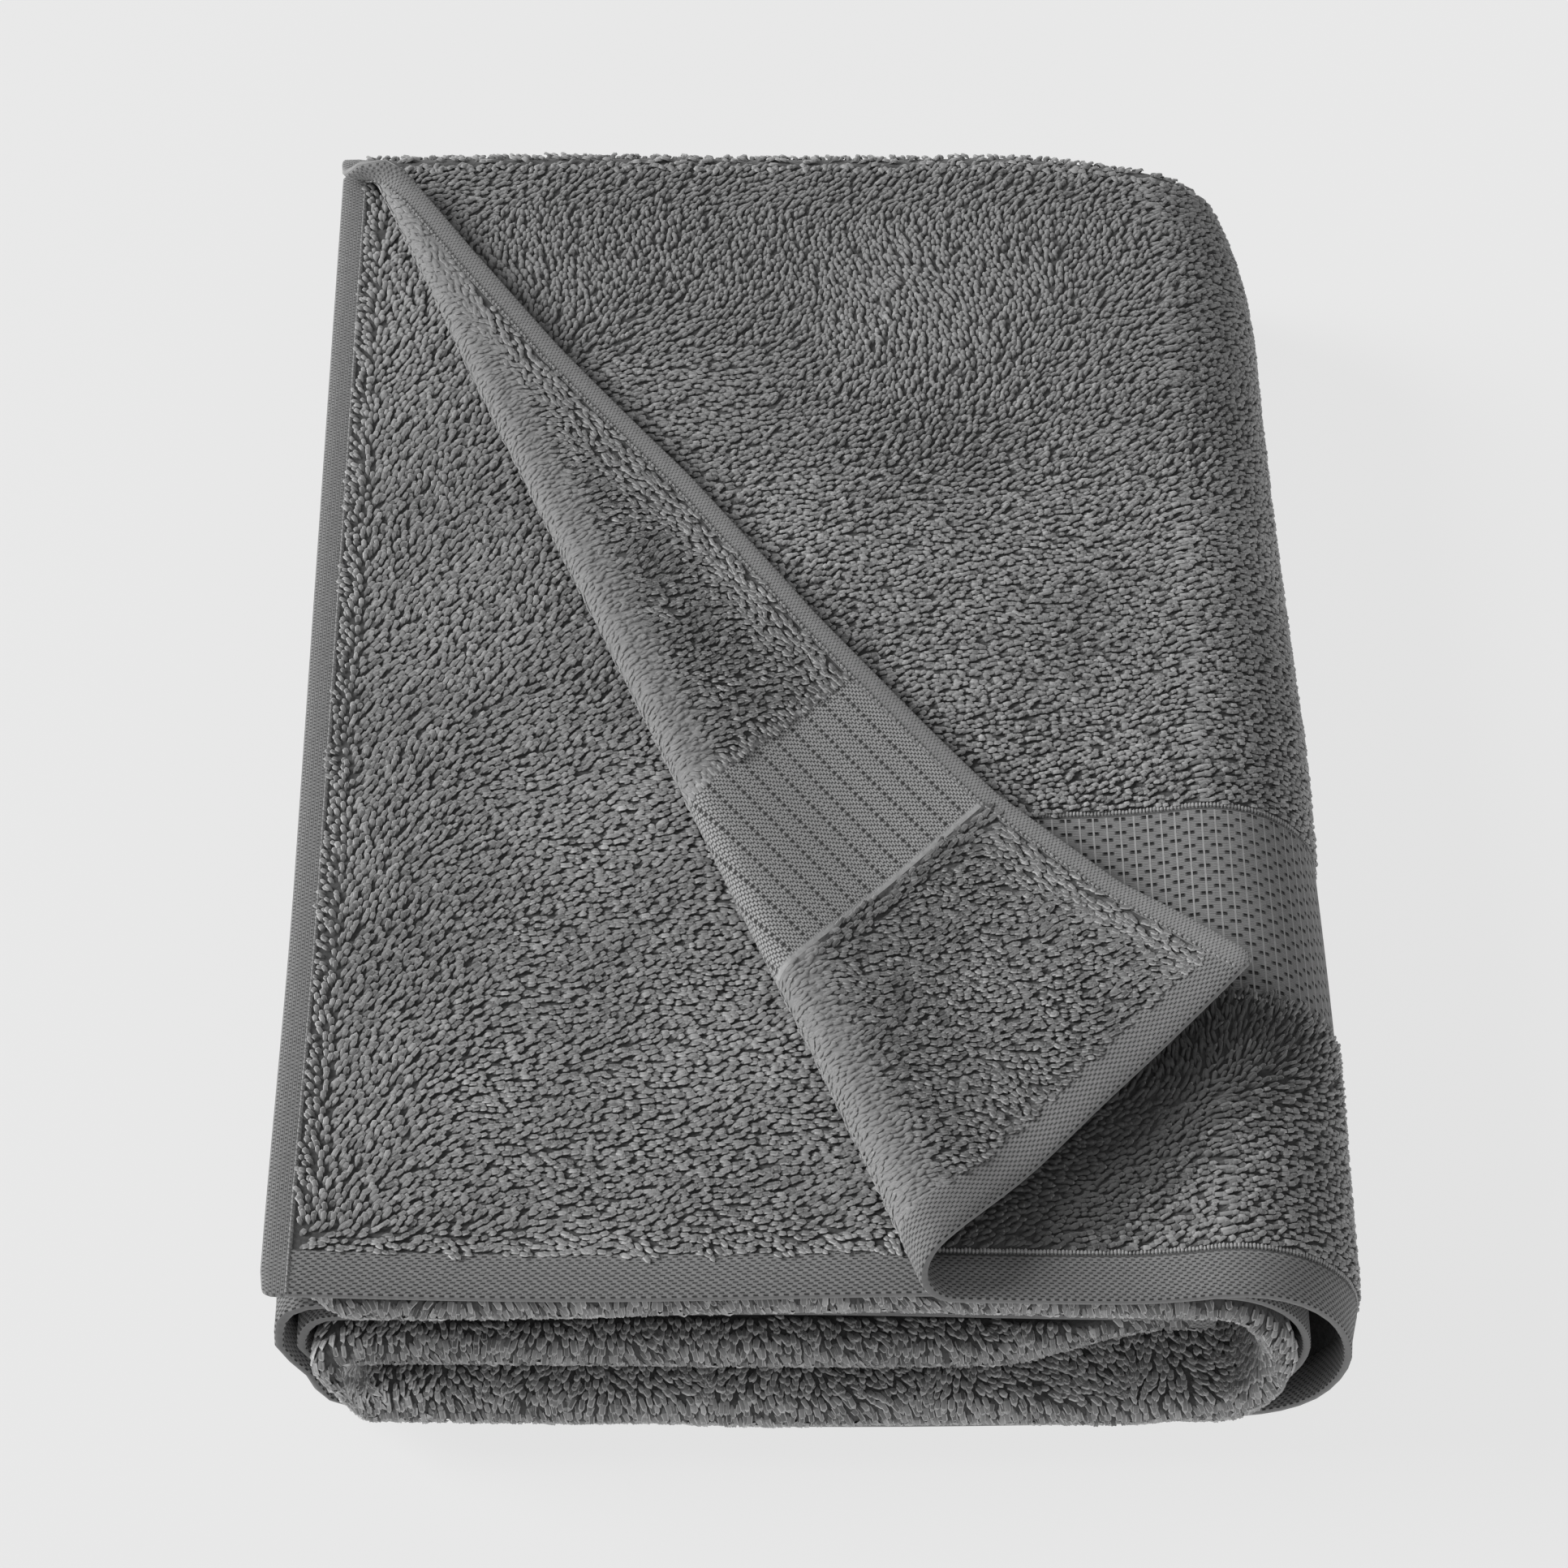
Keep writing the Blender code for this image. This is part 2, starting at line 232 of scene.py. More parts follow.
# %% The spiral seen from the front
def smooth(value, low, high):
    """Rises softly from 0 at low to 1 at high."""
    share = np.clip((value - low) / (high - low), 0.0, 1.0)
    return share * share * (3 - 2 * share)


def fade(value, low, high):
    """Falls softly from 1 at low to 0 at high."""
    return 1 - smooth(value, low, high)


def section(u):
    """Middle of the four layers at width u: x, z and the outward direction there."""
    left_turn = math.pi / 2 + (u - LEFT_START) / LEFT_RADIUS
    right_turn = (u - RIGHT_START) / RIGHT_RADIUS - math.pi / 2
    left_middle = (BOTTOM_HEIGHT + INNER_HEIGHT) / 2
    right_middle = (BOTTOM_HEIGHT + TOP_HEIGHT) / 2
    stretches = [u <= LEFT_START, u <= BOTTOM_START, u <= RIGHT_START, u <= TOP_START]
    x = np.select(stretches, [
        LEFT_CENTRE + LEFT_START - u,
        LEFT_CENTRE + LEFT_RADIUS * np.cos(left_turn),
        LEFT_CENTRE + u - BOTTOM_START,
        RIGHT_CENTRE + RIGHT_RADIUS * np.cos(right_turn),
    ], RIGHT_CENTRE - (u - TOP_START))
    z = np.select(stretches, [
        INNER_HEIGHT + 0 * u,
        left_middle + LEFT_RADIUS * np.sin(left_turn),
        BOTTOM_HEIGHT + 0 * u,
        right_middle + RIGHT_RADIUS * np.sin(right_turn),
    ], TOP_HEIGHT)
    out_x = np.select(stretches, [0 * u, np.cos(left_turn), 0 * u, np.cos(right_turn)], 0.0)
    out_z = np.select(stretches, [0 * u + 1, np.sin(left_turn), 0 * u - 1, np.sin(right_turn)], 1.0)
    return x, z, out_x, out_z


print("the spiral is", round(PACK_HEIGHT / MM, 1), "mm high")

# %% [markdown]
# ### Along the length
#
# Seen from the side, the cloth runs back, round the outer back fold, forward, round a soft nose at
# the front, back again, round the inner back fold, and forward to its other end. The layers do not
# end level: each is set back a little, and by another amount in each third.

# %% The four layers seen from the side
FIRST_END, CROSS_FOLD, SECOND_END = range(3)
FRONT_SETBACK = {
    # third    first end  cross fold  second end, in mm behind the top hem's edge
    "bottom": (-2.6, -4.3, 0.5),
    "inner": (9.0, 4.5, 9.0),
    "top": (0.0, 7.2, 3.5),
}
SETBACK_FADE = mm(130, 300)
DEEP_CORNER, SHY_CORNER, BOTTOM_LEAD = mm(9, 7, 1.5)
DEEP_CORNER_FADE = mm(10, 55)
SHY_CORNER_RISE = mm(679, 693)
BOTTOM_LEAD_RISE, BOTTOM_LEAD_FALL = mm(60, 100), mm(170, 196)
EDGE_WAVER, EDGE_WAVER_LENGTH = mm(0.6, 31)


def lengthwise(s):
    """How far back the point at length s lies, its offset outward from the middle of the four
    layers, and which of the front ends it belongs to."""
    outer, inner, nose = OUTER_BACK_RADIUS, INNER_BACK_RADIUS, NOSE_RADIUS
    back_turn = (s - BACK_TURN_START) / outer
    nose_turn = (s - NOSE_START) / nose
    inner_turn = (s - INNER_TURN_START) / inner
    third_y = s - THIRD_LAYER_START
    plump = (2 * nose - LAYER) * fade(third_y, 0.0, 4 * nose)
    stretches = [
        s <= BACK_TURN_START, s <= SECOND_LAYER_START, s <= NOSE_START,
        s <= THIRD_LAYER_START, s <= INNER_TURN_START, s <= LAST_LAYER_START,
    ]
    y = np.select(stretches, [
        s, BACK_CENTRE + outer * np.sin(back_turn), NOSE_START - s,
        -nose * np.sin(nose_turn), third_y, BACK_CENTRE + inner * np.sin(inner_turn),
    ], CLOTH_END - s)
    offset = np.select(stretches, [
        outer + 0 * s, outer * np.cos(back_turn), -outer + 0 * s,
        nose * (1 - np.cos(nose_turn)) - outer, plump - inner, -inner * np.cos(inner_turn),
    ], inner)
    end = np.select([s <= SECOND_LAYER_START, s <= INNER_TURN_START], [FIRST_END, CROSS_FOLD], SECOND_END)
    return y, offset, end


def setback(u, y, end):
    """How far the front of a layer lies behind the top hem's edge, fading with y."""
    bottom, inner, top = (np.array(ends)[end] * MM for ends in FRONT_SETBACK.values())
    under = u - BOTTOM_START
    behind = inner + (bottom - inner) * smooth(u, LEFT_START, BOTTOM_START)
    behind = behind + (top - bottom) * smooth(u, RIGHT_START, TOP_START)
    behind = behind + EDGE_WAVER * np.sin(u / EDGE_WAVER_LENGTH + 2 * end)
    behind = behind - BOTTOM_LEAD * smooth(under, *BOTTOM_LEAD_RISE) * fade(under, *BOTTOM_LEAD_FALL)
    behind = behind + DEEP_CORNER * fade(u, *DEEP_CORNER_FADE) * (end == CROSS_FOLD)
    behind = behind + SHY_CORNER * smooth(u, *SHY_CORNER_RISE) * (end == CROSS_FOLD)
    return behind * fade(y, *SETBACK_FADE)


print("the nose of the cross fold begins", round(NOSE_START, 3), "m along the cloth")

# %% [markdown]
# ### The flap
#
# The top layer is rolled back along a slanting line. A point that lies past the line goes round a
# small half circle and comes down on the other side. The roll is fat at the front, where the flap
# is wide and springy, and tight at the back, where the flap runs out in the corner of the pack.

# %% The flap's roll
FLAP_FRONT = 33 * MM
FLAP_ANGLE = math.radians(23.1)
FLAP_SINE, FLAP_COSINE = math.sin(FLAP_ANGLE), math.cos(FLAP_ANGLE)
FLAP_LEAVES = mm(328, 347)
FLAP_REST = 1.06 * LAYER
FLAP_SETTLES, FLAP_PERK, FLAP_PERK_REACH = mm(34, 4.6, 110)
FLAP_PERK_RISE = mm(10, 60)
ROLL_FADE = 12 * MM
#                 along the fold, radius of its roll, both in mm
FLAP_RADII = ((0, 6.6), (25, 5.6), (70, 4.4), (180, 3.9), (330, 3.1))
#                 from the front, how far the free edge had crept inward, both in mm
EDGE_DRIFT = ((0, 33), (40, 38), (80, 38), (150, 30), (205, 21), (260, 15), (300, 9), (348, 0))
EDGE_FLARE, EDGE_FLARE_REACH = mm(1.5, 120)


def read_table(table, at):
    """Reads a two-column table in millimetres at places in metres."""
    places, values = np.array(table).T * MM
    return np.interp(at, places, values)


def width_share(y, outermost):
    """Share of its first width that the top third takes at y."""
    free_edge = LEFT_EDGE - EDGE_SPREAD * y / BACK_CENTRE
    under_flap = -EDGE_FLARE * fade(y, 0.0, EDGE_FLARE_REACH)
    free_edge = free_edge + np.where(outermost, read_table(EDGE_DRIFT, y), under_flap)
    return (RIGHT_CENTRE - free_edge) / TOP_WIDTH


def about_fold(x, y):
    """How far past the flap's fold a place of the top layer lies, and the radius of the roll there."""
    radius = read_table(FLAP_RADII, (FLAP_FRONT - x) * FLAP_SINE + y * FLAP_COSINE)
    return (FLAP_FRONT - x) * FLAP_COSINE - y * FLAP_SINE, radius


def turned_back(x, y):
    """Carries points of the top layer across the flap's fold: x, y and height over the layer."""
    past, radius = about_fold(x, y)
    past = np.maximum(past, 0.0)
    closed = fade(y, *FLAP_LEAVES)
    turn = np.minimum(past / radius, math.pi * closed)
    rest = np.maximum(past - radius * math.pi * closed, 0.0)
    run = radius * np.sin(turn) + rest * np.cos(math.pi * closed)
    lift = radius * (1 - np.cos(turn)) + rest * np.sin(math.pi * closed)
    lift = lift - (2 * radius - FLAP_REST) * closed * smooth(rest, 0.0, FLAP_SETTLES)
    lift = lift + FLAP_PERK * fade(y, 0.0, FLAP_PERK_REACH) * smooth(rest, *FLAP_PERK_RISE)
    return x + (past - run) * FLAP_COSINE, y + (past - run) * FLAP_SINE, lift


def roll_share(u, s):
    """1 on the outside of the flap's roll, where the pile is combed flat, fading to 0 beside it."""
    past, radius = about_fold(RIGHT_CENTRE - (u - TOP_START) * width_share(s, True), s)
    from_roll = np.maximum(-past, past - math.pi * radius)
    return (u > TOP_START) * (s < BACK_TURN_START) * fade(from_roll, 0.0, ROLL_FADE)


roll_heights = [2 * radius for along, radius in FLAP_RADII]
print("from front to back the roll of the flap is", roll_heights, "mm high")

# %% [markdown]
# ### Everything that gives way
#
# A pack of cloth is nowhere quite flat or square. The outermost layer stands off round the right
# fold. The back right corner is pressed round, the back and the right side swell, and the left
# front is tucked under, with a dent over its foot. All of it is a few millimetres, adjusted until
# the outline of a render came close to the photograph's.

# %% All folds together
FLARE = 7.1 * MM
FLARE_FADE = mm(50, 320)
FLARE_RISE, FLARE_REACH = 0.33, 0.9
FRONT_PULL = 0.35
FRONT_PULL_FADE, FRONT_PULL_ROUND = mm(0, 15), (0.55, 0.95)
HEM_CORNER = 3 * MM


def flare(u, y):
    """How far the outermost layer stands off round the right fold. Its hem pulls it in again."""
    turned = (u - RIGHT_START) / RIGHT_TURN
    rising = smooth(turned, 0.0, FLARE_RISE)
    falling = np.cos(math.pi / 2 * (turned - 0.5) / FLARE_REACH) ** 2
    around = np.where(turned <= 0.5, rising, falling)
    around = around * (1 - FRONT_PULL * fade(y, *FRONT_PULL_FADE) * fade(turned, *FRONT_PULL_ROUND))
    around = np.where((turned <= 0) | (turned >= 0.5 + FLARE_REACH), 0.0, around)
    return FLARE * around * fade(y, *FLARE_FADE)


def rounded_corners(u, s):
    """A hem's corner is thick and turned in, so it is a little round."""
    from_u, from_s = u - CLOTH_WIDTH / 2, s - CLOTH_END / 2
    across = np.maximum(np.abs(from_u) - CLOTH_WIDTH / 2 + HEM_CORNER, 0.0) / HEM_CORNER
    along = np.maximum(np.abs(from_s) - CLOTH_END / 2 + HEM_CORNER, 0.0) / HEM_CORNER
    less_u = HEM_CORNER * across * (1 - np.sqrt(1 - along**2 / 2))
    less_s = HEM_CORNER * along * (1 - np.sqrt(1 - across**2 / 2))
    return u - np.sign(from_u) * less_u, s - np.sign(from_s) * less_s


def folded(u, s):
    """Places in space of the middle of the cloth, before the pack settles."""
    u, s = rounded_corners(u, s)
    y, offset, end = lengthwise(s)
    outermost = s <= BACK_TURN_START
    y = y + setback(u, y, end)
    x, z, out_x, out_z = section(u)
    on_top = u > TOP_START
    x = np.where(on_top, RIGHT_CENTRE - (u - TOP_START) * width_share(y, outermost), x)
    flap_x, flap_y, lift = turned_back(x, y)
    in_flap = outermost & on_top
    offset = offset + np.where(outermost & ~on_top, flare(u, y), 0.0)
    z = z + np.where(in_flap, lift + flare(TOP_START + RIGHT_CENTRE - flap_x, flap_y), 0.0)
    x = np.where(in_flap, flap_x, x) + offset * out_x
    y = np.where(in_flap, flap_y, y)
    z = z + offset * out_z - (LAYER - TERRY_THICKNESS) / 2
    return np.stack([x, y, z], axis=-1)


front_hem = folded(np.array([TOP_START + 20 * MM]), np.array([0.0]))[0]
print("before the pack settles the top layer's hem starts at", [round(float(v), 4) for v in front_hem])

# %% How the pack settles
CORNER_ROUND, CORNER_PRESS = 56 * MM, 0.30
BACK_SWELL, BACK_SWELL_DEPTH = mm(3.0, 80)
BACK_SWELL_RISE = mm(-110, 40)
SHOULDER, SHOULDER_DEPTH = mm(4.3, 100)
SHOULDER_RISE, SHOULDER_FALL = mm(48, 92), mm(97, 125)
RIGHT_SWELL, RIGHT_SWELL_START = mm(1.2, 60)
RIGHT_SWELL_RISE = mm(125, 175)
TUCK_SLOPE, TUCK_HEIGHT = 0.36, 13 * MM
TUCK_RISE, TUCK_FADE, TUCK_TOP = mm(70, 118), mm(60, 200), mm(35, 38.5)
FOOT, DENT, BULGE = mm(6.5, 3.2, 1.6)
FOOT_FADE, DENT_RISE, DENT_FALL, BULGE_RISE = mm(0, 8), mm(5, 14), mm(15, 22), mm(26, 34)
RIPPLE, RIPPLE_ACROSS, RIPPLE_ALONG = mm(1.1, 190, 240)
PACK_SHIFT = (-0.969 * MM, -FRONT_TO_BACK / 2 + 4.573 * MM)


def settled(points):
    """Presses, swells and tucks the pack, and moves it to its place on the floor."""
    x, y, z = points[..., 0], points[..., 1], points[..., 2]
    across = np.maximum((x - RIGHT_FOLD_REACH) / CORNER_ROUND + 1, 0.0)
    along = np.maximum((y - FRONT_TO_BACK) / CORNER_ROUND + 1, 0.0)
    move_x = (np.sqrt(1 - CORNER_PRESS * along**2) - 1) * across * CORNER_ROUND
    move_y = (np.sqrt(1 - CORNER_PRESS * across**2) - 1) * along * CORNER_ROUND
    inward = TUCK_SLOPE * (TUCK_HEIGHT - z) + FOOT * fade(z, *FOOT_FADE)
    inward = inward + DENT * smooth(z, *DENT_RISE) * fade(z, *DENT_FALL) - BULGE * smooth(z, *BULGE_RISE)
    move_x = move_x + inward * (smooth(-x, *TUCK_RISE) * fade(y, *TUCK_FADE) * fade(z, *TUCK_TOP))
    right = smooth(x, RIGHT_SWELL_START, RIGHT_FOLD_REACH) * smooth(y, *RIGHT_SWELL_RISE)
    move_x = move_x + RIGHT_SWELL * right
    swollen = smooth(y, FRONT_TO_BACK - BACK_SWELL_DEPTH, FRONT_TO_BACK)
    swollen = swollen * (0.5 + 0.5 * smooth(x, *BACK_SWELL_RISE))
    shoulder = smooth(x, *SHOULDER_RISE) * fade(x, *SHOULDER_FALL)
    shoulder = shoulder * smooth(y, FRONT_TO_BACK - SHOULDER_DEPTH, FRONT_TO_BACK)
    move_y = move_y + BACK_SWELL * swollen - SHOULDER * shoulder
    ripple = np.sin(2 * math.pi * x / RIPPLE_ACROSS + 1) * np.cos(2 * math.pi * y / RIPPLE_ALONG)
    lift = RIPPLE * z / PACK_HEIGHT * ripple
    return np.stack([x + move_x + PACK_SHIFT[0], y + move_y + PACK_SHIFT[1], z + lift], axis=-1)


print("and after that at", [round(float(v), 4) for v in settled(front_hem)])

# %% [markdown]
# ### Standing on the cloth
#
# Loops and stitches stand on the cloth, so they need to know which way is up from it. The
# direction is found by stepping a fifth of a millimetre both ways in u and in s. The cross product
# of the two steps stands square to the cloth, like a pin pushed through it.

# %% Points over and under the cloth
PROBE = 0.2 * MM
LEAST_LENGTH = 1e-9


def unit(vectors):
    """Vectors of length 1 in the same directions."""
    lengths = np.linalg.norm(vectors, axis=-1, keepdims=True)
    return vectors / np.maximum(lengths, LEAST_LENGTH * MM)


def lifted(u, s, height):
    """Places at a height over the middle of the cloth. The face that is outside on the pack's
    first layer has positive heights, and the other face has negative ones."""
    low_u, high_u = np.maximum(u - PROBE, 0.0), np.minimum(u + PROBE, CLOTH_WIDTH)
    low_s, high_s = np.maximum(s - PROBE, 0.0), np.minimum(s + PROBE, CLOTH_END)
    along_u = folded(high_u, s) - folded(low_u, s)
    along_s = folded(u, high_s) - folded(u, low_s)
    return settled(folded(u, s) + unit(np.cross(along_s, along_u)) * np.asarray(height)[..., None])


def true_widths(s):
    """Widths u in fine steps, and how far along the cloth each one is in the row at s."""
    widths = np.linspace(0.0, CLOTH_WIDTH, 2001)
    line = settled(folded(widths, np.full(len(widths), s)))
    steps = np.linalg.norm(np.diff(line, axis=0), axis=1)
    return widths, np.concatenate([[0.0], np.cumsum(steps)])


pin = lifted(np.full(2, 600 * MM), np.full(2, 1400 * MM), np.array([-1 * MM, 1 * MM]))
print("under the flap a pin pushed outward goes", round(float(pin[1, 2] - pin[0, 2]) / MM, 2), "mm up")

# %% [markdown]
# ## The ground sheet
#
# The ground is one grid of points, carried to its folds. Its lines are close where the cloth bends
# and far apart where it lies flat. On the top layer the columns follow the flap's slanting roll, so
# that the roll stays round. A Solidify modifier gives the cloth its thickness: a vertex group says
# how thick it is at each point, thin in the terry and thick at the hems.

# %% Lines of the grid
ROW_PITCH, LAST_PITCH = mm(3.6, 5.76)
EDGE_STEP, LEAST_STRIP = mm(0.5, 2)
HALF_STEP = EDGE_STEP / 2
HEM_START = CLOTH_WIDTH - SIDE_HEM
ARC_SHARE = 0.7
FOLD_LINE, FOLD_ARC = TOP_START + 0.45 * TOP_WIDTH, 0.2 * TOP_WIDTH


def steps_through(start, *stops):
    """Equal steps from place to place. Each stop is a place and the number of steps to it."""
    lines = []
    for end, count in stops:
        lines += [start + (end - start) * k / count for k in range(1, count + 1)]
        start = end
    return lines


def filled(marks, pitch):
    """All marks, with steps of at most the pitch between each two."""
    gaps = zip(marks, marks[1:])
    stops = [(end, max(1, math.ceil((end - start) / pitch - 0.01))) for start, end in gaps]
    return [marks[0]] + steps_through(marks[0], *stops)


def columns_of(y, follows_flap):
    """Widths u of the grid's columns in a row."""
    line, arc = FOLD_LINE, FOLD_ARC
    if follows_flap:
        share = float(width_share(np.array(y), True))
        line = TOP_START + (RIGHT_CENTRE - FLAP_FRONT + math.tan(FLAP_ANGLE) * y) / share
        line = min(line, HEM_START - LEAST_STRIP)
        arc = math.pi * float(read_table(FLAP_RADII, y)) / FLAP_COSINE / share
        arc = min(arc, ARC_SHARE * (HEM_START - line))
    widths = [0.0, EDGE_STEP] + steps_through(EDGE_STEP, (SIDE_HEM - HALF_STEP, 2))
    widths += [SIDE_HEM + HALF_STEP] + steps_through(
        SIDE_HEM + HALF_STEP, (LEFT_START, 14), (BOTTOM_START, 12), (RIGHT_START, 14), (TOP_START, 20),
        (line, 20), (line + arc, 10), (HEM_START - HALF_STEP, 16))
    widths += steps_through(HEM_START + HALF_STEP, (CLOTH_WIDTH - EDGE_STEP, 3), (CLOTH_WIDTH, 1))
    return np.array(widths)


def rows_of_cloth():
    """Lengths s of the grid's rows."""
    seams = [mark + side for mark in (END_HEM, BORDER_START, BORDER_END) for side in (-HALF_STEP, HALF_STEP)]
    nose_foot = 4 * NOSE_RADIUS
    lines = filled([0.0, EDGE_STEP] + seams + [BACK_TURN_START], ROW_PITCH)
    lines += steps_through(
        BACK_TURN_START, (SECOND_LAYER_START, 12), (NOSE_START - nose_foot, 20), (NOSE_START, 4),
        (THIRD_LAYER_START, 10), (THIRD_LAYER_START + nose_foot, 4), (INNER_TURN_START, 20),
        (LAST_LAYER_START, 8))
    last_seam = [CLOTH_END - END_HEM - HALF_STEP, CLOTH_END - END_HEM + HALF_STEP]
    last = [LAST_LAYER_START] + last_seam + [CLOTH_END - EDGE_STEP, CLOTH_END]
    return np.array(lines + filled(last, LAST_PITCH)[1:])


row_lengths = rows_of_cloth()
plain_columns = columns_of(0.0, False)
flap_columns_at_back = columns_of(BACK_CENTRE, True)
grid_u = []
for s in row_lengths:
    if s <= BACK_TURN_START:
        grid_u.append(columns_of(s, True))
    else:
        turned = min((s - BACK_TURN_START) / (SECOND_LAYER_START - BACK_TURN_START), 1)
        grid_u.append(flap_columns_at_back + (plain_columns - flap_columns_at_back) * turned)
grid_u = np.array(grid_u)
grid_s = np.repeat(row_lengths[:, None], grid_u.shape[1], axis=1)
print("the ground's grid has", grid_u.shape[0], "rows and", grid_u.shape[1], "columns")

# %% [markdown]
# ### Zones of the cloth
#
# Three kinds of weave lie in that one sheet: terry, hem and border. Each grid face gets its weave
# from the middle of its u and s, and its weave picks the material. The border looks different from
# behind, so the faces of the reverse take a second set of materials.

# %% Zones and thickness
TERRY, HEM, BORDER, SIDE_WEAVE, ROLL = range(5)
THIN_EDGE = 0.62


def in_side_hem(u):
    return (u < SIDE_HEM) | (u > HEM_START)


def zone_of(u, s):
    """Terry, hem or border at each place on the flat cloth."""
    in_hem = in_side_hem(u) | (s < END_HEM) | (s > CLOTH_END - END_HEM)
    in_border = (s > BORDER_START) & (s < BORDER_END)
    return np.where(in_hem, HEM, np.where(in_border, BORDER, TERRY))


def weave_of(u, s):
    """The zone, with side hems told from end hems, and the flap's roll from the rest."""
    weave = np.where(in_side_hem(u), SIDE_WEAVE, zone_of(u, s))
    return np.where((weave == TERRY) & (roll_share(u, s) > 0.5), ROLL, weave)


def thickness_of(u, s):
    """Ground thickness, rounded off at the very edges of the cloth."""
    thickness = np.array([GROUND_THICKNESS, HEM_THICKNESS, BORDER_THICKNESS])[zone_of(u, s)]
    edge = np.minimum(np.minimum(u, CLOTH_WIDTH - u), np.minimum(s, CLOTH_END - s))
    return thickness * (THIN_EDGE + (1 - THIN_EDGE) * smooth(edge, 0.0, EDGE_STEP))


def build_ground():
    """The grid carried to its folds, with its flat coordinates kept as a UV map in metres."""
    count_s, count_u = grid_u.shape
    corner = np.arange(count_s * count_u).reshape(count_s, count_u)
    faces = np.stack([corner[:-1, :-1], corner[1:, :-1], corner[1:, 1:], corner[:-1, 1:]], axis=-1)
    faces = faces.reshape(-1, 4)
    mesh = bpy.data.meshes.new("towel_ground")
    mesh.from_pydata(folded(grid_u, grid_s).reshape(-1, 3).tolist(), [], faces.tolist())
    flat = np.stack([grid_u.ravel(), grid_s.ravel()], axis=-1)
    woven = np.stack([np.interp(flat[:, 0], *true_widths(BORDER_START)), flat[:, 1]], axis=-1)
    flat_map = mesh.uv_layers.new(name="flat_cloth")
    flat_map.data.foreach_set("uv", woven[faces.ravel()].astype(np.float32).ravel())
    middle = flat[faces].mean(axis=1)
    mesh.polygons.foreach_set("material_index", weave_of(*middle.T).astype(np.int32))
    ground = placed("towel_ground", mesh)
    group = ground.vertex_groups.new(name="thickness")
    for index, thickness in enumerate(thickness_of(*flat.T).tolist()):
        group.add([index], thickness / HEM_THICKNESS, "REPLACE")
    return ground


ground = build_ground()
print("before it is thick, the ground has", len(ground.data.polygons), "faces")

# %% Thickness and settling
REVERSE_SLOT = 5


def thicken_and_settle(ground):
    """Applies Solidify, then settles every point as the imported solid's were."""
    for slot in range(2 * REVERSE_SLOT):
        ground.data.materials.append(None)
    solidify = ground.modifiers.new("thickness", "SOLIDIFY")
    solidify.thickness = HEM_THICKNESS
    solidify.offset = 0.0
    solidify.vertex_group = "thickness"
    solidify.material_offset = REVERSE_SLOT
    bpy.context.view_layer.update()
    thick = ground.evaluated_get(bpy.context.evaluated_depsgraph_get())
    thin_mesh = ground.data
    ground.data = bpy.data.meshes.new_from_object(thick)
    ground.modifiers.clear()
    bpy.data.meshes.remove(thin_mesh)
    ground.data.name = "towel_ground"
    points = np.empty(len(ground.data.vertices) * 3, np.float32)
    ground.data.vertices.foreach_get("co", points)
    points = settled(points.reshape(-1, 3).astype(np.float64))
    ground.data.vertices.foreach_set("co", points.astype(np.float32).ravel())
    ground.data.shade_smooth()
    ground.data.update()


thicken_and_settle(ground)
print("the ground sheet has", len(ground.data.polygons), "faces, most of them square")

# %% [markdown]
# ## What the eye can reach
#
# A towel this size carries about half a million loops on each face, and nearly all are inside the
# pack. Only those that can be seen are made. A place counts as seen if a straight line from it gets
# away without meeting the cloth. Blender's BVH tree answers such questions fast. Downward lines are
# left out, because the floor stops them.

# %% Lines of sight
SIGHT_RANGE = 0.6
SIGHT_START = 1.5 * MM
LEAST_SLANT = 0.15
#              degrees over level, number of directions round about
SIGHT_RINGS = ((8, 12), (35, 8), (62, 6))
sight_lines = [Vector((0.0, 0.0, 1.0))]
for elevation, count in SIGHT_RINGS:
    level, height = math.cos(math.radians(elevation)), math.sin(math.radians(elevation))
    for azimuth in (2 * math.pi * step / count for step in range(count)):
        sight_lines.append(Vector((level * math.sin(azimuth), -level * math.cos(azimuth), height)))

ground.data.calc_loop_triangles()
tree = BVHTree.FromPolygons(
    [v.co.copy() for v in ground.data.vertices],
    [tuple(t.vertices) for t in ground.data.loop_triangles],
)


def is_seen(place, outward):
    """True if some line of sight leaves the place without meeting the ground sheet."""
    face = Vector(outward)
    start = Vector(place) + face * SIGHT_START
    ways = (way for way in sight_lines if way.dot(face) > LEAST_SLANT)
    return any(tree.ray_cast(start, way, SIGHT_RANGE)[0] is None for way in ways)


print(len(sight_lines), "directions are tried from each place")

# %% [markdown]
# ## The terry loops
#
# A loop is a stitch of soft, thick yarn that leaves the ground, bends over and goes back in. Seen
# from a step away it is a grain with a round head, lying on the foot of the next one like a scale,
# and the gap beside it is dark. Hair particles would make such a pile fast, but as thin, even hairs,
# and a material with bump alone has no dark gaps. So each loop is a small mesh, open underneath,
# where it lies on the cloth: a pointed foot, two half rings and a head. A plain loop has 12
# triangles. Where the light shows it, a loop has a shallow groove between its two strands, and 16.
# All loops of one area are joined in one piece, because so many objects would be very slow.
#
# All layers of the pack share the width `u`, so round a turn the outermost layer is stretched. To
# keep the loops evenly thick on it, rows of loops are spaced by the true distance along the cloth.

# %% Where the loops stand
PITCH_ACROSS, PITCH_ALONG = mm(1.60, 1.30)
PLACE_SCATTER = 0.17
SEAM_GAP, LOOP_FOOT = mm(1.5, 0.45)
HEM_GAP_UNDER_FLAP, HEM_GAP = 0.9 * SEAM_GAP, 0.5 * SEAM_GAP
OUTER, INNER = 1.0, -1.0
scatter = np.random.default_rng(20)


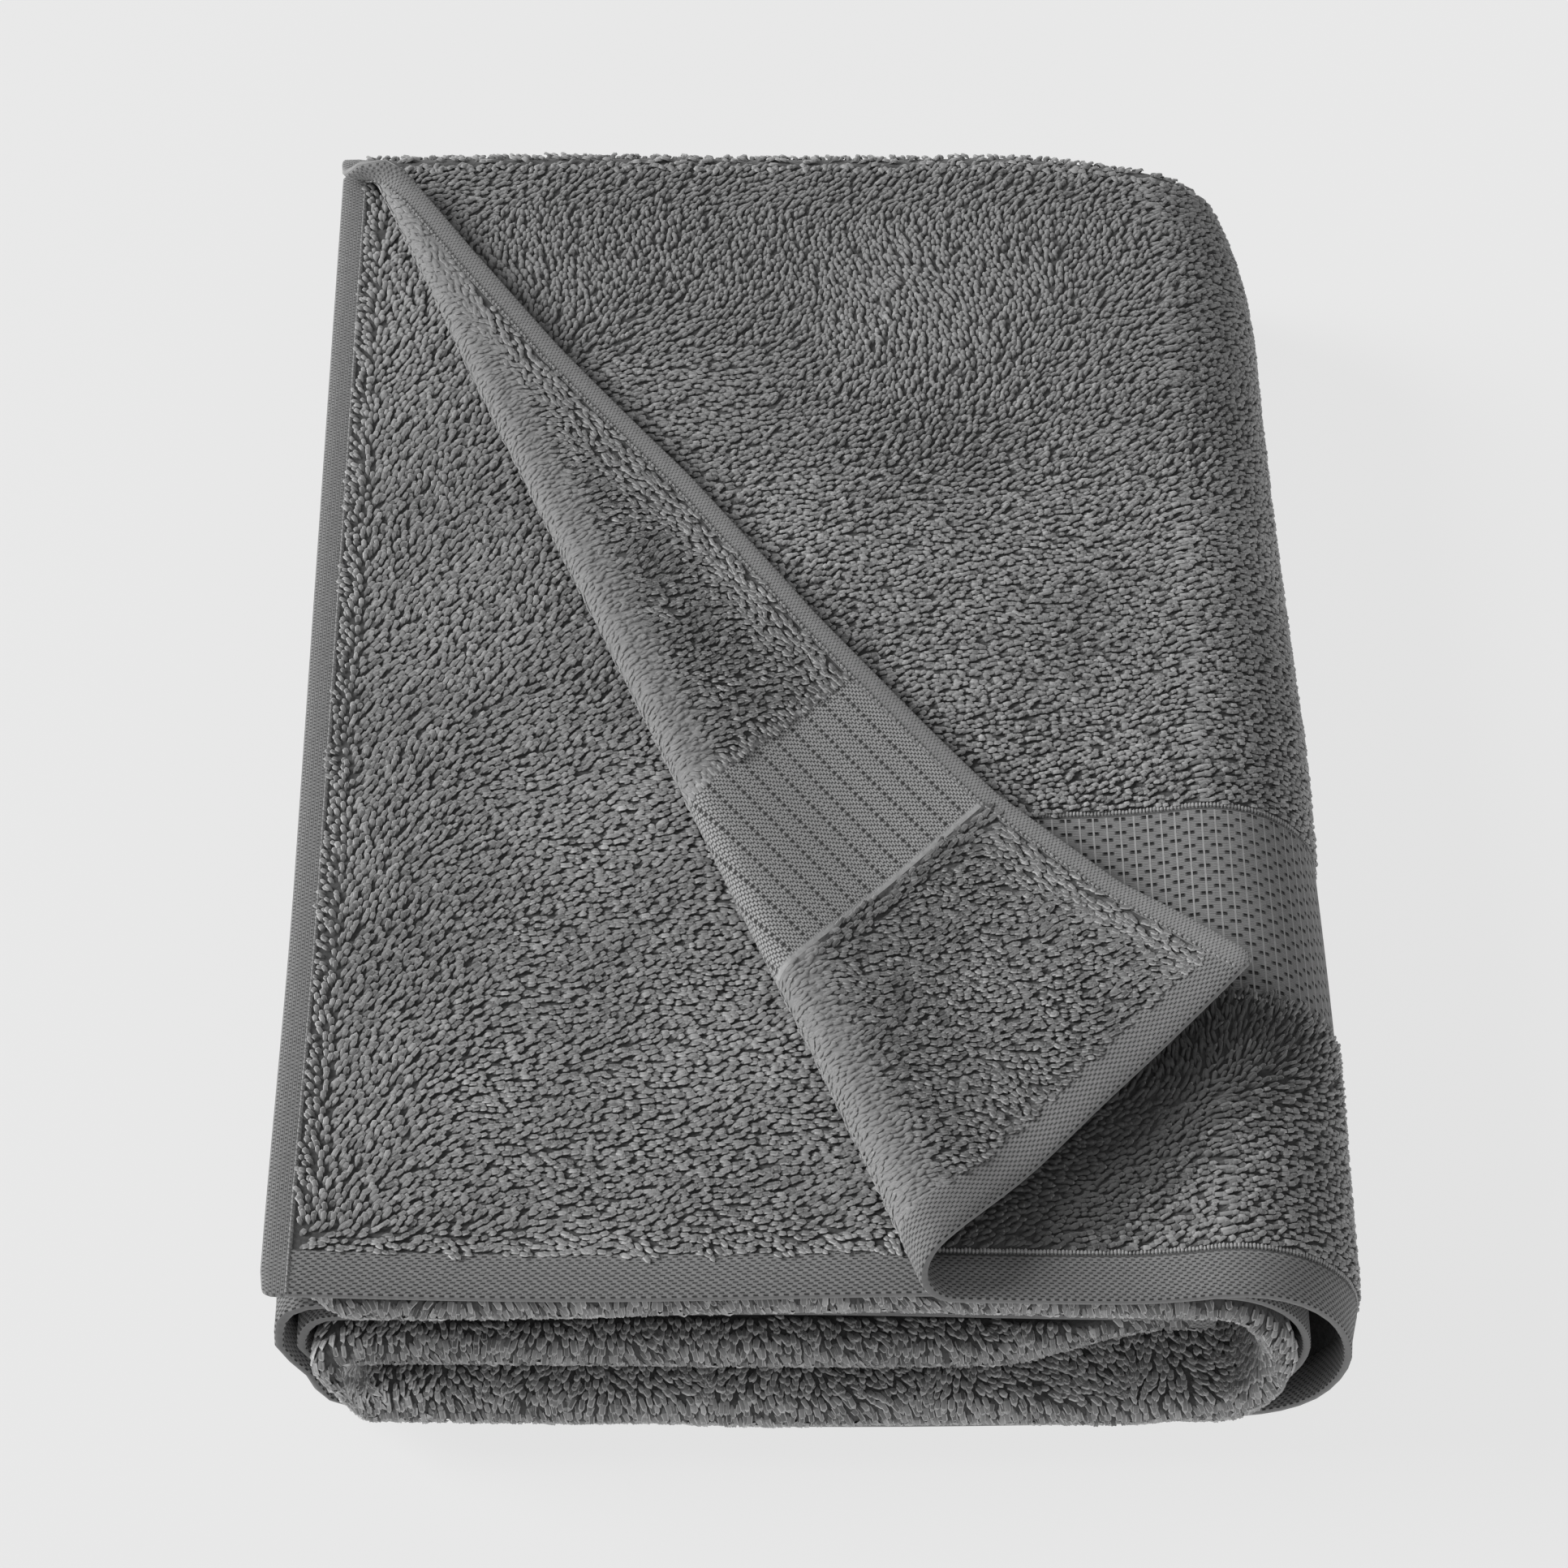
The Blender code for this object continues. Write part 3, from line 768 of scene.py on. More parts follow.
def spread_evenly(start, end, pitch):
    """Middles of equal steps, close to the pitch, between start and end, and the true step."""
    count = max(1, round((end - start) / pitch))
    step = (end - start) / count
    return start + step * (np.arange(count) + 0.5), step


def woven_places(u_range, s_range, side, coarseness, slimness):
    """Places of loops in staggered rows, each a little off its place in the weave."""
    widths, distances = true_widths((s_range[0] + s_range[1]) / 2)
    first, last = np.interp(u_range, widths, distances)
    across, step_across = spread_evenly(first, last, PITCH_ACROSS * coarseness * slimness)
    along, step_along = spread_evenly(*s_range, PITCH_ALONG * coarseness / slimness)
    distance, s = np.meshgrid(across, along)
    stagger = (np.arange(len(along)) % 2)[:, None] * 0.5 - 0.25
    distance = distance + (stagger + scatter.normal(0.0, PLACE_SCATTER, s.shape)) * step_across
    s = (s + scatter.normal(0.0, PLACE_SCATTER, s.shape) * step_along).ravel()
    u = np.interp(distance.ravel(), distances, widths)
    terry = (u > 0) & (u < CLOTH_WIDTH) & (s > 0) & (s < CLOTH_END)
    s_gap = SEAM_GAP if side == OUTER else 0.0
    u_gap = np.where(s > LAST_LAYER_START, HEM_GAP_UNDER_FLAP, HEM_GAP)
    for gap_u, gap_s in ((0, -s_gap), (0, s_gap), (-u_gap, 0), (u_gap, 0)):
        terry = terry & (zone_of(u + gap_u, s + gap_s) == TERRY)
    return u[terry], s[terry]


def only_seen(u, s, side):
    """Keeps the places from which a line of sight gets away."""
    foot = lifted(u, s, side * LOOP_FOOT)
    outward = unit(lifted(u, s, side * (LOOP_FOOT + 1 * MM)) - foot)
    keep = np.array([is_seen(*pair) for pair in zip(foot.tolist(), outward.tolist())], bool)
    return u[keep], s[keep]


print("one loop stands on", round(PITCH_ACROSS * PITCH_ALONG / MM**2, 1), "square millimetres")

# %% [markdown]
# ### Which way a loop leans
#
# Pile has a lay, like fur. Handling turns it, so the lay drifts from place to place. On the layer
# under the flap the loops lean over to the right, at the back of the top layer they lean away from
# the front, and before the border they are long fingers that point at it. A lean is given as a
# direction in space, and is turned into steps in u and s by measuring it against the cloth's own
# directions.

# %% Leaning
LEAST_STRETCH = 0.3
WAVE_TURN, WAVE_TILT, WAVE_GROWTH = 2.1, 0.7, 0.3


def leaning_steps(u, s, side, direction):
    """Turns a wanted direction in space into the step (du, ds) that goes one metre that way."""
    here = lifted(u, s, side * LOOP_FOOT)
    stretched, parts = [], []
    for next_u, next_s in ((np.minimum(u + MM, CLOTH_WIDTH), s), (u, np.minimum(s + MM, CLOTH_END))):
        along = (lifted(next_u, next_s, side * LOOP_FOOT) - here) / MM
        stretched.append(np.maximum(np.linalg.norm(along, axis=1), LEAST_STRETCH))
        parts.append(np.einsum("ij,ij->i", along, direction) / stretched[-1])
    size = np.maximum(np.hypot(*parts), LEAST_LENGTH)
    return parts[0] / size / stretched[0], parts[1] / size / stretched[1]


def waver(place, wave_length, seed):
    """A slow, smooth unevenness from -1 to 1 over space, from three crossed waves. The wave length
    is in mm, and each seed gives another pattern."""
    total = 0.0
    for turn in range(3):
        angle = seed + WAVE_TURN * turn
        reach = place @ np.array([math.cos(angle), math.sin(angle), WAVE_TILT])
        waves = reach / (wave_length * MM * (1 + WAVE_GROWTH * turn))
        total = total + np.sin(2 * math.pi * waves + 3 * seed * turn)
    return total / 3


print("in the middle of the pack a waver is", round(float(waver(np.zeros((1, 3)), 90, 1.0)[0]), 2))

# %% Shape of a loop
LOOP_FLATNESS = 0.62
# Corners of a ring from its left foot over the yarn to its right foot: across, up.
GROOVED = ((-1.0, -0.50), (-0.66, 0.52), (0.0, 0.18), (0.66, 0.52), (1.0, -0.50))
PLAIN = ((-1.0, -0.50), (-0.56, 0.50), (0.56, 0.50), (1.0, -0.50))
# Painted shade and highlight of the strips between those corners, in yarn tones: dark foot and groove, light
# rims and head. Foot to first ring, ring to ring, ring to head
PAINTED_STRIP_SHADING = {
    GROOVED: ((-2.4, -1.8, -1.8, -2.4), (0.7, -1.4, -1.4, 0.7), (1.4, 0.0, 0.0, 1.4)),
    PLAIN: ((-2.7, -2.2, -2.7), (-0.2, -0.4, -0.2), (1.3, 0.7, 1.3)),
}
#              share of the loop's length, height and width
RING_PLACES = ((0.42, 0.68, 0.90), (0.86, 1.00, 0.88))
HEAD_PLACE = (1.10, 0.70)


def loop_faces(count, ring):
    """Corner numbers of every loop's triangles, and how much lighter each one is painted in yarn tones:
    painted shade at the foot and groove, painted highlight on the head.
    """
    first = 1 + np.arange(len(ring) - 1)
    second = first + len(ring)
    points_a_loop = 2 + len(RING_PLACES) * len(ring)
    foot, head = 0 * first, 0 * first + points_a_loop - 1
    triangles = (
        (foot, first + 1, first), (first, first + 1, second + 1),
        (first, second + 1, second), (second, second + 1, head),
    )
    one = np.concatenate([np.stack(corners, axis=1) for corners in triangles])
    faces = (one[None] + (np.arange(count) * points_a_loop)[:, None, None]).reshape(-1, 3)
    near_foot, middle, near_head = PAINTED_STRIP_SHADING[ring]
    return faces, np.tile(near_foot + middle + middle + near_head, count)


def loop_points(ring, u, s, side, steps, sizes, foot_height=LOOP_FOOT, flatness=LOOP_FLATNESS):
    """Points of every loop, from its foot to its head, as an array of loops by points by 3."""
    (du, ds), (length, height, width) = steps, sizes

    def on_axis(share, rise):
        at_u = np.clip(u + du * length * share, 0.0, CLOTH_WIDTH)
        at_s = np.clip(s + ds * length * share, 0.0, CLOTH_END)
        return lifted(at_u, at_s, side * (foot_height + height * rise))

    foot, head = on_axis(0.0, 0.0), on_axis(*HEAD_PLACE)
    points = [foot]
    for share, rise, wide in RING_PLACES:
        middle = on_axis(share, rise)
        up = unit(on_axis(share, rise + 1.0) - middle)
        across = unit(np.cross(head - foot, up))
        half_width = (width * wide / 2)[:, None]
        half_thick = half_width * np.reshape(flatness, (-1, 1))
        points += [middle - across * half_width * a + up * half_thick * b for a, b in ring]
    points = np.stack(points + [head], axis=1)
    points[..., 2] = np.maximum(points[..., 2], 0.0)
    return points


for ring, name in ((GROOVED, "grooved"), (PLAIN, "plain")):
    print("a", name, "loop has", len(loop_faces(1, ring)[0]), "triangles")

# %% [markdown]
# ### Yarn tones
#
# The yarn is one mid grey, but no two loops take the dye alike, so each loop is dealt a tone at random.
# On each loop a painted shade darkens its foot, deep in the pile, and the groove between its strands,
# and a painted highlight lightens its round head. Giving each loop its own pattern of colours would
# need a picture map over all those triangles. Dealing out a few plain tones does the same for the eye,
# so the loops share seven yarn materials, for the dye and for the painted shade and highlight alike. A
# little sheen stands for the fine fuzz that softens the edge of every cotton loop.

# %% Yarn materials and joined meshes
# The seven tones serve for random dye and for painted shade and highlight
YARN_TONES = (0.065, 0.120, 0.190, 0.265, 0.340, 0.415, 0.490)
MIDDLE_TONE = 3
YARN_ROUGHNESS = 0.92
YARN_FUZZ = {"Specular IOR Level": 0.15, "Sheen Weight": 0.35, "Sheen Roughness": 0.5}
yarns = [
    plain_material("yarn_" + str(number), (tone, tone, tone, 1.0), YARN_ROUGHNESS, YARN_FUZZ)
    for number, tone in enumerate(YARN_TONES)
]


def joined(name, points, faces, tones):
    """One smooth piece from the points of all its loops, its triangles and their yarn tones."""
    mesh = bpy.data.meshes.new(name)
    mesh.vertices.add(points.size // 3)
    mesh.vertices.foreach_set("co", points.astype(np.float32).ravel())
    mesh.loops.add(faces.size)
    mesh.loops.foreach_set("vertex_index", faces.astype(np.int32).ravel())
    mesh.polygons.add(len(faces))
    mesh.polygons.foreach_set("loop_start", np.arange(0, faces.size, 3, dtype=np.int32))
    slots = np.clip(np.round(tones), 0, len(yarns) - 1)
    mesh.polygons.foreach_set("material_index", slots.astype(np.int32))
    mesh.update(calc_edges=True)
    mesh.shade_smooth()
    for yarn in yarns:
        mesh.materials.append(yarn)
    return placed(name, mesh)


print(len(yarns), "yarn tones")

# %% [markdown]
# ### Areas of pile
#
# Each area names its stretch of the flat cloth, the face that its loops stand on, a function for
# their lean and the ring they are built of. The function gives a direction, how upright the loops
# are, from 0 to 1, and how long and how wide they are, where 1 is usual. Last come how coarse the
# pile is, how much wider than long its weave is, and how many yarn tones lighter it is painted than
# the rest, a painted light and shade for each area: the top layer, its right side and the flap are
# painted darker, and the layer under the flap and the front folds lighter. The line-of-sight test
# drops every loop that the pack hides, so stretches can be generous.
#
# What the lean functions work out as degrees is a lay, how far it turns towards the next area, and
# how far each waver swings it. These angles, and the shares beside them, were chosen by holding
# renders against the photograph. None of them was measured.

# %% Leans on top
# Soft edges of areas: along Y and X in the pack, along the cloth, and away from a seam
NEAR_FRONT, TOWARDS_BACK, LAST_STRIP = mm(-50, 25), mm(40, 120), mm(135, 170)
TO_FLAP_BEHIND, TO_FLAP_BEFORE = mm(-120, -20), mm(-112, -66)
FINGERS, BEFORE_BORDER = mm(48, 64), mm(73, 77)
BESIDE_HEM, BESIDE_END, BESIDE_FLAP_HEM, AT_BORDER = mm(2.5, 7), mm(2, 7), mm(3, 18), mm(2, 6)


def level_direction(place, degrees, degrees_off):
    """Level directions at an angle from +X towards +Y, each with some scatter."""
    angle = np.radians(degrees + scatter.normal(0.0, degrees_off, len(place)))
    return np.stack([np.cos(angle), np.sin(angle), np.zeros(len(place))], axis=1)


def lean_under_flap(u, s, place):
    """Steep beside the side hem, then over to the right the nearer to the flap. Along the hem the
    loops part in clumps, some over the hem and some away from it."""
    x, y = place[:, 0], place[:, 1]
    behind = 66 - 42 * smooth(x, *TO_FLAP_BEHIND)
    before = 62 - 58 * smooth(x, *TO_FLAP_BEFORE)
    degrees = behind + (before - behind) * fade(y, *NEAR_FRONT)
    degrees = degrees + 13 * waver(place, 90, 1.0) + 20 * waver(place, 22, 1.7)
    beside_hem = fade(HEM_START - u, *BESIDE_HEM)
    degrees = degrees + 110 * beside_hem * (0.75 + 0.45 * waver(place, 15, 2.6))
    beside_end = fade(CLOTH_END - END_HEM - s, *BESIDE_END)
    degrees = degrees * (1 - beside_end) + beside_end * (-25 + 45 * waver(place, 13, 3.6))
    upright = 0.12 + 0.1 * waver(place, 40, 2.0)
    return level_direction(place, degrees, 10), upright, 1 - 0.2 * beside_hem, 1 + 0 * u


def lean_on_top(u, s, place):
    """Across in the middle and away from the front at the back. Before the border the loops are
    long fingers. Round the right turn the same lean goes down the side."""
    y = place[:, 1]
    to_back = smooth(y, *TOWARDS_BACK)
    upright = np.clip(0.2 * fade(y, *NEAR_FRONT) + 0.12 * waver(place, 45, 5.0), 0, 1)
    to_back = to_back * (1 - 0.7 * smooth(y, *LAST_STRIP))
    degrees = 2 + to_back * (75 + 70 * waver(place, 110, 5.9))
    degrees = degrees + 14 * waver(place, 80, 4.0) + 16 * waver(place, 20, 4.7)
    before_border = s < BORDER_START
    turned = np.clip((TOP_START - u) / RIGHT_TURN, 0, 1)
    fingers = before_border * smooth(s, *FINGERS)
    wild = 8 + 85 * fingers * (1 - turned) + 25 * waver(place, 35, 5.5)
    directions = level_direction(place, np.where(before_border, wild, degrees), 14)
    directions[:, 2] = -0.8 * (1 - to_back)
    upright = upright * (1 - fingers) * (1 - 0.6 * before_border) + 0.45 * fingers
    return directions, upright, 1 + 0.7 * fingers, 1 - 0.3 * fingers


def lean_on_flap(u, s, place):
    """Combed over the roll, scaly in the middle, and lying along the side hem beside it."""
    beside_hem = fade(HEM_START - u, *BESIDE_FLAP_HEM)
    roll = roll_share(u, s)
    degrees = -5 + 30 * waver(place, 60, 3.0) + 26 * waver(place, 18, 3.7)
    degrees = degrees * (1 - beside_hem) * (1 - roll) - 50 * beside_hem + 25 * roll * (1 - beside_hem)
    before_border = (s < BORDER_START) * smooth(s, *BEFORE_BORDER)
    degrees = degrees * (1 - before_border) + 36 * before_border
    upright = (0.2 + 0.15 * waver(place, 30, 6.0)) * (1 - beside_hem) * (1 - roll)
    directions = level_direction(place, degrees, 15)
    directions[:, 2] = 0.6 * roll
    to_border = np.where(s < (BORDER_START + BORDER_END) / 2, MM, -MM)
    ahead = unit(lifted(u, np.clip(s + to_border, 0.0, CLOTH_END), -LOOP_FOOT) - place)
    at_border = (fade(s - BORDER_END, *AT_BORDER) * (s > BORDER_END))[:, None]
    directions = directions * (1 - at_border) + ahead * at_border
    return directions, np.clip(upright, 0, 1), 1 + 0.25 * beside_hem, 1 - 0.1 * roll


# %% Leans round the sides
def lean_down(u, s, place):
    """On the sides the loops hang, a little to one side."""
    directions = 0.4 * level_direction(place, -90 + 40 * waver(place, 50, 7.0), 25)
    directions[:, 2] = -0.9
    return directions, 0.2 + 0.1 * waver(place, 40, 8.0), 1 + 0 * u, 1 + 0 * u


def lean_at_front(u, s, place):
    """At the front folds the loops are bent open and stand out like a brush."""
    degrees = -72 + 38 * waver(place, 34, 7.0) + 26 * waver(place, 12, 7.7)
    directions = level_direction(place, degrees, 13)
    directions[:, 2] = -0.8
    return directions, 0.06 + 0 * u, np.where(u > TOP_START, 1.35, 1.15), 1.12 + 0 * u


BACK_AREA = 165 * MM
SIDES_MEET = BOTTOM_START + 150 * MM
WHOLE_WIDTH, WHOLE_TOP = (0.0, CLOTH_WIDTH), (TOP_START, CLOTH_WIDTH)
RIGHT_SIDE, LEFT_SIDE = (SIDES_MEET, TOP_START), (0.0, SIDES_MEET)
FIRST_LAYER, LAST_LAYER = (0.0, BACK_TURN_START), (LAST_LAYER_START, CLOTH_END)
BACK = (BACK_TURN_START, SECOND_LAYER_START + 12 * MM)
FRONT = (NOSE_START - 30 * MM, THIRD_LAYER_START + 30 * MM)
# Each area's last number is its painted light and shade, in yarn tones
PILE_AREAS = {
    # name              u range    s range      face, lean, ring, how coarse, how slim, tone
    "pile_under_flap": (WHOLE_TOP, LAST_LAYER, INNER, lean_under_flap, GROOVED, 1.10, 1.0, 0.25),
    "pile_top_front": (WHOLE_TOP, (0.0, BACK_AREA), OUTER, lean_on_top, PLAIN, 1.02, 1.10, -0.5),
    "pile_top_back": (WHOLE_TOP, (BACK_AREA, BACK_TURN_START), OUTER, lean_on_top, PLAIN, 1.02, 1.10, -0.35),
    "pile_flap": (WHOLE_TOP, FIRST_LAYER, INNER, lean_on_flap, GROOVED, 1.03, 1.08, -0.75),
    "pile_right_side": (RIGHT_SIDE, FIRST_LAYER, OUTER, lean_on_top, PLAIN, 1.02, 1.10, -0.5),
    "pile_left_side": (LEFT_SIDE, FIRST_LAYER, OUTER, lean_down, PLAIN, 1.25, 1.0, 0.0),
    "pile_back": (WHOLE_WIDTH, BACK, OUTER, lean_down, PLAIN, 1.25, 1.0, 0.0),
    "pile_front": (WHOLE_WIDTH, FRONT, OUTER, lean_at_front, GROOVED, 1.08, 1.0, 0.3),
}
print(len(PILE_AREAS), "areas of pile")

# %% [markdown]
# ### Growing the pile
#
# A loop's size lies between that of a lying loop and that of an upright one. Its tone is dealt by
# chance round the middle tone, in patches, moved by its area's painted tone. Combed pile on the flap's
# roll, and pile far back, shows less contrast. Pile far back gets a painted shade, and the loops on the
# cloth beside the flap's end hem get a painted shadow of the flap.

# %% Grow the loops
#                         lying, upright
LENGTHS, HEIGHTS, WIDTHS = mm(2.7, 1.6), mm(0.88, 1.9), mm(1.28, 1.24)
LENGTH_SCATTER, WIDTH_SCATTER = 0.14, 0.10
COMBED_FLAT = 0.45
# In yarn tones: how uneven the tones are, and how much darker the far back is painted, a painted shade
PATCHES, TONE_SCATTER, FAR_BACK_PAINTED_SHADE = 0.5, 0.45, 0.55
OUTER_CONTRAST, COMBED_CALM, FAR_BACK_CALM = 0.15, 0.75, 0.6
FAR_BACK = mm(40, 130)
# A painted shadow of the flap on the loops beside its end hem: yarn tones darker, how far from the hem it
# fades, and where it starts along the hem
PAINTED_FLAP_SHADOW, PAINTED_FLAP_SHADOW_REACH, PAINTED_FLAP_SHADOW_RISE = 3.0, mm(10, 34), mm(-12, 12)


def varied(middle, share):
    """A size for each loop, up to about two shares off its middle."""
    return middle * (1 + share * np.clip(scatter.normal(0.0, 1.0, len(middle)), -2, 2))


def leaned(ends, upright, share):
    """A size between those of a lying loop and of an upright one, varied."""
    return varied(ends[0] + (ends[1] - ends[0]) * upright, share)


def painted_flap_shadow_share(place):
    """1 on the cloth right beside the flap's end hem, where a painted shadow of the flap darkens the loops,
    and 0 farther off.
    """
    corner, inner = settled(folded(np.array([CLOTH_WIDTH, CLOTH_WIDTH - 60 * MM]), np.zeros(2)))[:, :2]
    along = unit(inner - corner)
    from_corner = place[:, :2] - corner
    distance = from_corner[:, 1] * along[0] - from_corner[:, 0] * along[1]
    return fade(distance, *PAINTED_FLAP_SHADOW_REACH) * smooth(from_corner @ along, *PAINTED_FLAP_SHADOW_RISE)


def grow_pile(name, u_range, s_range, side, lean, ring, coarseness, slimness, tone):
    """One piece of joined loops."""
    u, s = only_seen(*woven_places(u_range, s_range, side, coarseness, slimness), side)
    place = lifted(u, s, side * LOOP_FOOT)
    outer = side == OUTER
    direction, upright, long, wide = lean(u, s, place)
    steps = leaning_steps(u, s, side, direction)
    combed = roll_share(u, s) * (side == INNER)
    flatter = 1 - COMBED_FLAT * combed
    length = leaned(LENGTHS, upright, LENGTH_SCATTER) * long * coarseness
    height = leaned(HEIGHTS, upright, LENGTH_SCATTER) * flatter * math.sqrt(coarseness)
    width = leaned(WIDTHS, upright, WIDTH_SCATTER) * wide * coarseness
    sizes = (length, height, width)
    points = loop_points(ring, u, s, side, steps, sizes, LOOP_FOOT, LOOP_FLATNESS * flatter)
    faces, lighter = loop_faces(len(u), ring)
    far_back = smooth(place[:, 1], *FAR_BACK) * (1 - combed)
    contrast = 1 + OUTER_CONTRAST * outer - COMBED_CALM * combed - FAR_BACK_CALM * far_back
    patches = PATCHES * waver(place, 55, 9.0) + scatter.normal(0.0, TONE_SCATTER, len(place))
    # Each loop's tone: its area's painted tone, a painted shade far back, and random dye in patches
    dealt = MIDDLE_TONE + tone - FAR_BACK_PAINTED_SHADE * far_back * outer + patches * contrast
    # Painted shadow of the flap on the top layer's loops beside the flap's end hem
    dealt = dealt - PAINTED_FLAP_SHADOW * painted_flap_shadow_share(place) * outer * (u > RIGHT_START) * (s < BORDER_START)
    faces_a_loop = len(faces) // len(u)
    # Painted shade on each loop's foot and groove and painted highlight on its head, from the strips
    tones = np.repeat(dealt, faces_a_loop) + lighter * np.repeat(contrast, faces_a_loop)
    return joined(name, points, faces, tones)


piles = [grow_pile(name, *area) for name, area in PILE_AREAS.items()]
for pile in piles:
    print(pile.name, "has", len(pile.data.polygons), "triangles")
print("in all", sum(len(pile.data.polygons) for pile in piles), "triangles of loops")

# %% [markdown]
# ### Cords and stitches
#
# Where terry meets a border or an end hem, the weaver beats in a few thick threads, which show as a
# fine ribbed cord. Along each side hem runs a line of chain stitches. Both are rows of small ribs, so
# the same little shape that makes a loop makes them too, smaller and flatter, set side by side.

# %% Ribs of cords and chain stitches
CORD_PITCH, CORD_LENGTH, CORD_WIDTH = mm(0.85, 1.6, 0.82)
CHAIN_PITCH, CHAIN_LENGTH, CHAIN_WIDTH = mm(1.45, 1.65, 0.75)
RIB_HEIGHT, HEM_FOOT = mm(0.50, 0.85)
CORD_TONE, CHAIN_TONE = 3.2, 2.3
RIB_CONTRAST, RIB_SCATTER, RIB_TONE_SCATTER = 0.8, 0.08, 0.3
CHAIN_LINE = HEM_START + 0.4 * MM


def cord_ribs(s, turned):
    """Ribs of a cord on the outer face at length s, each lying along the cloth."""
    widths, distances = true_widths(s)
    u = np.interp(np.arange(0.0, distances[-1], CORD_PITCH), distances, widths)
    return u, np.full(len(u), s), OUTER, turned, LOOP_FOOT


def chain_ribs(start, end):
    """Chain stitches on the inner face, along the side hem."""
    s = np.arange(start, end, CHAIN_PITCH)
    return np.full(len(s), CHAIN_LINE), s, INNER, 1.0, HEM_FOOT


def grow_ribs(name, rows, length, width, tone):
    """All visible ribs of some rows as one piece."""
    points = []
    for u, s, side, turned, foot_height in rows:
        u, s = only_seen(u, s, side)
        sizes = [varied(np.full(len(u), size), RIB_SCATTER) for size in (length, RIB_HEIGHT, width)]
        points.append(loop_points(PLAIN, u, s, side, (0 * u, 0 * u + turned), sizes, foot_height))
    points = np.concatenate(points)
    faces, lighter = loop_faces(len(points), PLAIN)
    # Painted shade on each rib's foot and painted highlight on its head, with random tones
    tones = tone + RIB_CONTRAST * lighter + scatter.normal(0.0, RIB_TONE_SCATTER, len(faces))
    return joined(name, points, faces, tones)


cords = grow_ribs("seam_cords", [
    cord_ribs(END_HEM + 0.1 * MM, 1.0),
    cord_ribs(BORDER_START - 0.1 * MM, -1.0),
    cord_ribs(BORDER_END + 0.1 * MM, 1.0),
], CORD_LENGTH, CORD_WIDTH, CORD_TONE)
chains = grow_ribs("hem_chain_stitches", [
    chain_ribs(LAST_LAYER_START, CLOTH_END - 1 * MM),
    chain_ribs(1 * MM, BACK_TURN_START),
], CHAIN_LENGTH, CHAIN_WIDTH, CHAIN_TONE)
piles += [cords, chains]
print(len(cords.data.polygons) + len(chains.data.polygons), "triangles of cords and stitches")

# %% [markdown]
# ## Weaves of the ground sheet
#
# Between the loops one looks down into shade, so the terry ground is painted dark, a painted shade of
# the deep pile. Hems and border have no loops, and their threads show. In every one of these weaves a
# thread floats over a few others and dips under, and each dip is a small dark dash between light
# floats. So one pattern of staggered dashes, in the right sizes, makes them all. It is drawn with Math
# nodes from the flat cloth's own UV map in metres, so it keeps its real size and turns with the folds.
# The same pattern drives the bump.

# %% Patterns from Math nodes
CLOTH_SHINE = {"Specular IOR Level": 0.2, "Sheen Weight": 0.2}
NOISE_DETAIL, NOISE_LOW, NOISE_HIGH = 3.0, 0.3, 0.7


